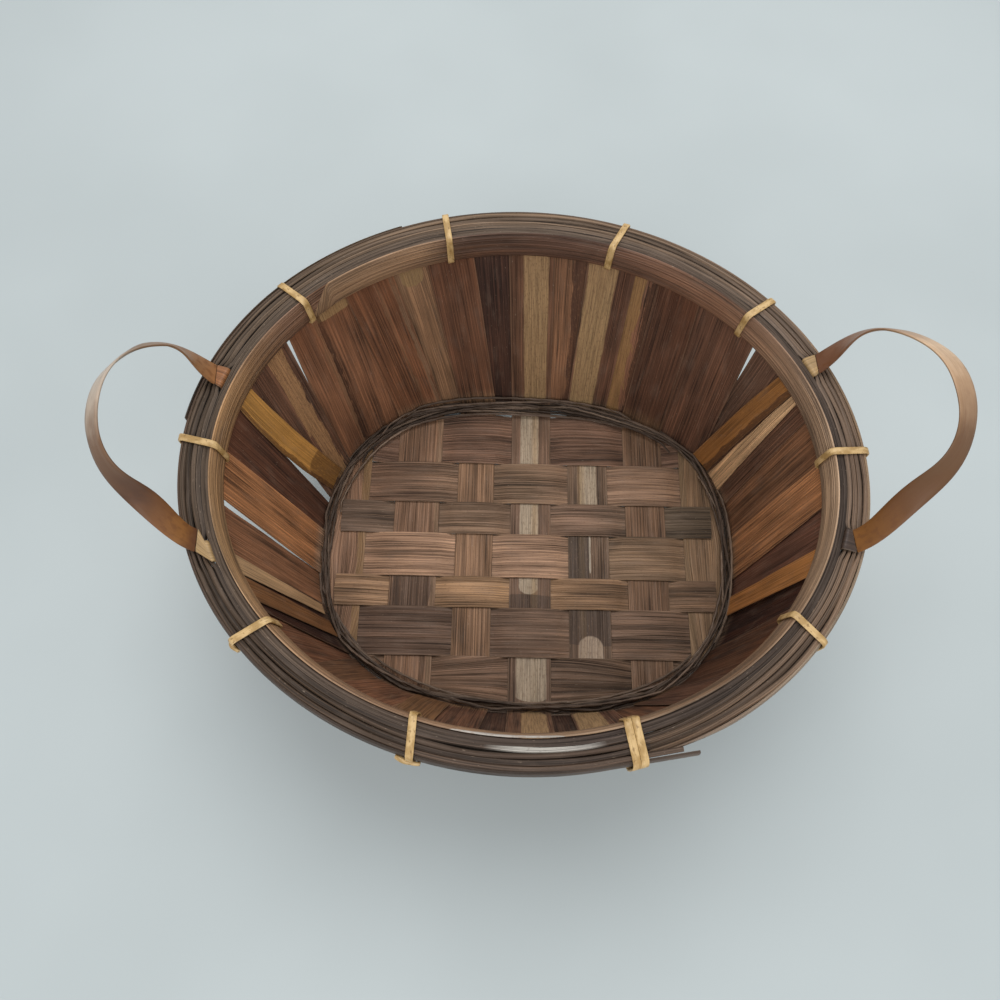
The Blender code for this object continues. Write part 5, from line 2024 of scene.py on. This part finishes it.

# A woven splint's second colour is its wall colour, painted shade for the lesser light on the wall.
WOVEN_FINISHES = {
    "base_column_1": SplitWood("split_oak_outer_left", "#906D54", bands=(Band(0.92, 0.2, "#96754F", 0.8),)),
    "base_column_2": SplitWood("split_oak_second_column", "#7F5F47", "#7B5239", stain_share=0.25, bands=(
        Band(0.45, 0.9, BARK, 0.6, start=-0.056, end=-0.028, cap=0.002, ragged=0.2),
        Band(0.93, 0.1, "#94775C", 0.6),
        Band(0.62, 0.05, "#8D6C50", 0.5, Reach.HEIGHT, 0.01),
    )),
    "base_column_3": SplitWood("split_oak_third_column", "#88674C", "#6D4A36", stain_share=0.2),
    "base_column_4": SplitWood("split_oak_middle_column", "#705643", "#6B4C39", stain_share=0.1, bands=(
        Band(0.46, 0.46, YOUNG_WOOD, 0.95, start=-0.036, end=0.104, cap=0.006, ragged=0.03),
        Band(0.6, 0.56, "#B5936A", 0.9, Reach.HEIGHT, 0.012, 0.3, 0.01, ragged=0.03),
        Band(0.54, 0.7, YOUNG_WOOD, 0.9, start=-0.113, end=-0.084, cap=0.003, ragged=0.02),
        Band(0.5, 1.2, BARK, 0.65, start=-0.056, end=-0.044, cap=0.002, ragged=0.2),
    )),
    "base_column_5": SplitWood("split_oak_fifth_column", "#6A5340", "#6D4C3A", stain_share=0.1, bands=(
        Band(0.52, 0.42, YOUNG_WOOD, 0.95, start=0.018, end=0.104, cap=0.004, ragged=0.03),
        Band(0.34, 0.6, "#B6956B", 0.9, Reach.HEIGHT, 0.012, 0.3, 0.01, ragged=0.03),
        Band(0.5, 1.2, BARK, 0.7, start=-0.074, end=-0.052, cap=0.002, ragged=0.2),
        Band(0.24, 0.56, "#463A31", 0.7, start=-0.032, end=0.004, cap=0.003),
        Band(0.53, 0.05, "#C9BBA6", 0.7, start=-0.018, end=0.004, cap=0.006, ragged=0.02),
        Band(0.51, 0.58, "#B39C85", 0.95, start=-0.1, end=-0.077, cap=0.008, ragged=0.03),
    )),
    "base_column_6": SplitWood("split_oak_sixth_column", "#72553E", "#5E4030", groove_mm=1.3, stain_share=0.2),
    "base_column_7": SplitWood("split_oak_outer_right", "#85684C", bands=(Band(0.08, 0.16, "#8D7355", 0.6),)),
    "base_row_1": SplitWood("split_oak_first_row", "#765845", relief=0.8),
    "base_row_2": SplitWood(
        "split_oak_second_row", "#7D5F49", "#6F4E3B", relief=0.8, stain_share=0.1,
        tones=((0, "#765644"), (0.5, "#7D634C"), (0.6, "#8A6C55"), (1, "#8A6C55")),
        bands=(Band(0.33, 0.34, "#B58A60", 0.92, Reach.LENGTH, -1.0, -0.122, ragged=0.12),),
    ),
    "base_row_3": SplitWood(
        "split_oak_third_row", "#795D46", relief=0.8, groove_mm=1.5,
        tones=((0, "#695444"), (0.35, "#826750"), (0.65, "#806450"), (0.9, "#635240"), (1, "#635240")),
    ),
    "base_row_4": SplitWood(
        "split_oak_fourth_row", "#A78263", "#B37C52", relief=0.8, stain_share=0.2,
        tones=((0, "#AE886B"), (0.56, "#AB876C"), (0.62, "#80664E"), (1, "#80664E")),
    ),
    "base_row_5": SplitWood(
        "split_oak_fifth_row", "#8B6B4A", relief=0.7,
        tones=((0, "#947356"), (0.45, "#A07C5A"), (0.72, "#8E6E52"), (1, "#7B604A")),
    ),
    # Painted shade: row 6's nearly black wall colour stands for the shade on its turned-up ends.
    "base_row_6": SplitWood(
        "split_oak_sixth_row", "#745D4D", "#34170D", relief=0.9, groove_mm=1.9,
        tones=((0, "#614A3C"), (0.45, "#6B5342"), (0.6, "#7D624E"), (1, "#7D624E")),
    ),
    "base_row_7": SplitWood(
        "split_oak_seventh_row", "#775A42", relief=0.8,
        tones=((0, "#80634D"), (0.5, "#7D614D"), (0.7, "#68513F"), (1, "#68513F")),
    ),
}

STAVE_WOOD = partial(SplitWood, relief=0.4)
THIN_WOOD = partial(SplitWood, relief=0.35)
STRIP_WOOD = partial(SplitWood, deep=0.5, pale=1.4, relief=0.3)
WORN_LOW = Band(0.3, 0.5, "#B59668", 0.9, Reach.HEIGHT, 0.1222, 0.1262, 0.002, ragged=0.15)
WORN_HIGH = Band(0.5, 0.5, "#9E8058", 0.8, Reach.HEIGHT, 0.121, 0.131, 0.006, ragged=0.2)

WALL_FINISHES = {
    "stave_right": STAVE_WOOD("split_oak_right_stave", "#815A3F", stain_share=0.1),
    "stave_back_right_high": THIN_WOOD("split_oak_back_stave", "#6C4B39", groove_mm=1.2),
    "stave_back_right_low": THIN_WOOD("split_oak_corner_stave", "#6C4F3E", groove_mm=1.2),
    "stave_back_left_high": THIN_WOOD(
        "split_oak_tan_stave", "#86654A", groove_mm=1.2, bands=(Band(0.93, 0.16, "#3C281D", 0.8), WORN_HIGH)
    ),
    "stave_back_left_low": STAVE_WOOD("split_oak_left_back_stave", "#845B41", stain_share=0.3, bands=(
        WORN_LOW, Band(0.52, 0.04, "#3E291D", 0.7), Band(0.57, 0.05, "#8C6B4E", 0.5),
    )),
    "stave_left": STAVE_WOOD("split_oak_dark_left_stave", "#5E3D2D", stain_share=0.15),
    "stave_front_left_low": STAVE_WOOD("split_oak_reddish_stave", "#6B4630", stain_share=0.3),
    "stave_front_left_high": STAVE_WOOD("split_oak_front_left_stave", "#65462F"),
    "stave_front": STAVE_WOOD("split_oak_front_stave", "#6D4932", stain_share=0.2),
    # Painted shade: this stave's dark face stands for the shade on the front right of the wall.
    "stave_front_right": STAVE_WOOD("split_oak_front_right_stave", "#4F311F", stain_share=0.3),
    "filler_right": STAVE_WOOD("split_oak_right_filler", "#684535"),
    "filler_left": STAVE_WOOD("split_oak_left_filler", "#906548", stain_share=0.2),
    "filler_back_left": THIN_WOOD("split_oak_dark_filler", "#4B3227", groove_mm=1.1),
    "filler_back_middle": THIN_WOOD(
        "split_oak_brown_filler", "#8A6348", bands=(Band(0.2, 0.5, "#4F3428", 0.8, ragged=0.15),)
    ),
    "filler_back_right": THIN_WOOD("split_oak_tan_filler", "#855D46", bands=(
        Band(0.76, 0.5, "#A37C50", 0.9, ragged=0.2), Band(0.3, 0.2, "#35231A", 0.7, ragged=0.15),
    )),
    "filler_front_left": STAVE_WOOD("split_oak_front_filler", "#4A3226", edge=0.5),
    "filler_front_right": STAVE_WOOD("split_oak_dark_front_filler", "#412B20"),
    "strip_back_right": STRIP_WOOD(
        "rived_oak_orange_strip", "#9A6837", bands=(Band(0.12, 0.3, "#553725", 0.75, ragged=0.2),)
    ),
    "strip_right_pale": SplitWood("rived_oak_pale_strip", "#D6AC80", relief=0.7, groove_mm=1.1, weathered=0.0),
    "strip_right": STRIP_WOOD("rived_oak_right_strip", "#B67A42"),
    "strip_left": SplitWood("rived_oak_left_strip", "#BB8846", deep=0.5, pale=1.45, relief=0.4, bands=(
        Band(0.4, 1.4, "#5C3D24", 0.6, Reach.HEIGHT, -0.1, 0.034, 0.012, ragged=0.3),
        Band(0.95, 0.2, "#5A3A22", 0.7, ragged=0.12),
    )),
    "strip_front_left": STRIP_WOOD("rived_oak_pointed_strip", "#7E5532"),
    "strip_front": STRIP_WOOD("rived_oak_front_strip", "#7A5636"),
    "overlay_left": STRIP_WOOD("rived_oak_thin_overlay", "#BC9870", edge=0.5),
}

HOOP_WOOD = SplitWood(
    "bent_oak_hoop", "#6A4C38", deep=0.45, pale=1.6, groove_mm=1.3, relief=0.7, roughness=0.5,
    bands=(
        # Painted highlight: a pale grey line along the hoop's top edge at the front.
        Band(0.1, 0.12, "#B4AEA5", 0.85, Reach.DEPTH, -0.2, -0.1486, 0.001, ragged=0.02),
        Band(0.5, 1.2, "#35251D", 0.25, Reach.DEPTH, 0.147, 0.2, 0.004, ragged=0.1),
    ),
    tones=(
        (0.0, "#7C5A44"), (0.035, "#80604A"), (0.09, "#A07A54"), (0.19, "#A37F58"), (0.3, "#967458"),
        (0.42, "#8A7058"), (0.49, "#7E624A"), (0.55, "#A08266"), (0.63, "#A3866A"), (0.74, "#846049"),
        (0.84, "#6E4F3E"), (0.9, "#674A38"), (0.92, "#9C7A5C"), (1.0, "#A07E5E"),
    ),
)
OUTER_WOOD = SplitWood(
    "bent_oak_outer_band", "#6B4C38", groove_mm=1.0, relief=0.5, roughness=0.52,
    tones=(
        (0.0, "#7E6A5A"), (0.1, "#9C8872"), (0.19, "#A08468"), (0.32, "#7C6450"), (0.45, "#5F4D3D"),
        (0.57, "#5E4938"), (0.7, "#5C4737"), (0.83, "#463930"), (0.95, "#40352D"), (1.0, "#5A4A3E"),
    ),
)
ROD_TONES = (
    (0.0, "#46362B"), (0.46, "#524133"), (0.52, "#634F3E"), (0.57, "#77604D"), (0.635, "#6A5747"),
    (0.7, "#735D49"), (0.77, "#655240"), (0.835, "#594838"), (0.88, "#4C3C2E"), (0.92, "#453527"), (0.963, "#47372B"),
)
# Painted highlight: a pale grey-white patch near the front on the innermost rod.
ROD_HIGHLIGHT_TONES = ((0.966, "#B5AFA5"), (0.984, "#A8A198"))
ROD_END_TONES = ((0.987, "#47372B"),)
REED = partial(SplitWood, groove_mm=0.8, relief=0.35, mottle=0.06)
ROD_WOODS = tuple(
    REED(
        f"round_reed_{index + 1}", "#66503F", deep=0.35, weathered=0.15, shade=shade,
        # Painted shade: these two bands darken each rod's sides and underside and leave its top lit.
        bands=(Band(0.76, 0.7, PAINTED_ROD_SHADE, 0.9, ragged=0.03), Band(0.0, 0.14, PAINTED_ROD_SHADE, 0.9, ragged=0.02)),
        tones=ROD_TONES + (ROD_HIGHLIGHT_TONES if index == 3 else ()) + ROD_END_TONES,
    )
    for index, shade in enumerate((1.22, 0.78, 1.12, 0.74))
)
# Painted shade: the reeds' dark tones, darkest towards the right, stand for the shade in the slot between the rods
# and the inner hoop.
PACKING_WOOD = REED(
    "dark_packed_reed", "#4A3B2F", weathered=0.1, roughness=0.7,
    tones=(
        (0.0, "#3A2D23"), (0.2, "#40332A"), (0.33, "#57473A"), (0.5, "#5A4A3C"), (0.72, "#584839"),
        (0.9, "#4A3C31"), (1.0, "#463830"),
    ),
)
LASHING_CANE = CaneSkin("split_cane_skin", "#D4B27C", "#AE8B55", "#7C5A2E")
STRAND_WOODS = tuple(
    SplitWood(f"twisted_reed_{index + 1}", tone, deep=0.4, pale=1.9, groove_mm=0.6, relief=0.4)
    for index, tone in enumerate(("#604E40", "#45362A", "#6E5B4B"))
)
# Painted highlight: the pale tones about the middle of each strap stand for the sheen on its outer bend.
LEFT_STRAP = StrapWood("shaved_hickory_left", (
    (0.0, "#9A6A40"), (0.12, "#8E6A4A"), (0.3, "#86694F"), (0.42, "#C8B8A6"), (0.52, "#BCA792"),
    (0.62, "#79593F"), (0.78, "#583823"), (0.88, "#7A4F2A"), (0.94, "#8F5F30"), (1.0, "#5F3B25"),
))
# Painted shade: the right strap's darker tones from 0.15 to 0.35 stand for the shade on its lower front side.
RIGHT_STRAP = StrapWood("shaved_hickory_right", (
    (0.0, "#8A5A2A"), (0.15, "#6C4420"), (0.35, "#6E4D30"), (0.5, "#AE8B69"), (0.62, "#DAB996"),
    (0.75, "#9B7758"), (0.9, "#80583E"), (1.0, "#6B452F"),
))
TUCK_WOOD = partial(SplitWood, relief=0.2, roughness=0.45)
BROWN_TUCK = TUCK_WOOD("shaved_hickory_brown_end", "#8A5A35")
# Painted shadow: the right handle's front tuck is nearly black for the shadow that falls on it.
SHADOWED_TUCK = TUCK_WOOD("shaved_hickory_stained_end", "#3A2A20")
PALE_TUCK = TUCK_WOOD("shaved_hickory_end", "#A18359", deep=0.6, pale=1.3)


def main() -> None:
    """Build every piece and report it."""
    logging.basicConfig(level=logging.INFO, format="%(message)s")
    bpy.context.scene.view_settings.view_transform = "Standard"
    finishes = {node: wood.make() for node, wood in (WOVEN_FINISHES | WALL_FINISHES).items()}
    hoop, outer = HOOP_WOOD.make(), OUTER_WOOD.make()
    rods = tuple(wood.make() for wood in ROD_WOODS)
    packing, cane = PACKING_WOOD.make(), LASHING_CANE.make()
    strands = tuple(wood.make() for wood in STRAND_WOODS)
    left_strap, right_strap = LEFT_STRAP.make(), RIGHT_STRAP.make()
    brown, dark, pale = BROWN_TUCK.make(), SHADOWED_TUCK.make(), PALE_TUCK.make()
    assemblies = (
        WovenSplints(FORM, finishes),
        WallStaves(FORM, finishes),
        Rim(FORM, hoop, outer, rods, packing, cane),
        Twining(FORM, strands),
        StrapHandle(FORM, Side.LEFT, left_strap, (brown, pale), (166.5, 202.5), 0.0692, drifts=(0.0, 0.008)),
        StrapHandle(
            FORM, Side.RIGHT, right_strap, (dark, pale), (-14.5, 24.5), 0.0742,
            twist_runs=(0.09, 0.05), rolls=((0.0, 0.2), (0.28, 0.2), (0.5, -0.12), (1.0, -0.22)),
        ),
    )
    for assembly in assemblies:
        for piece in assembly.build():
            LOG.info("%s: %d faces", piece.name, len(piece.data.polygons))
    Studio().build()


if __name__ == "__main__":
    main()
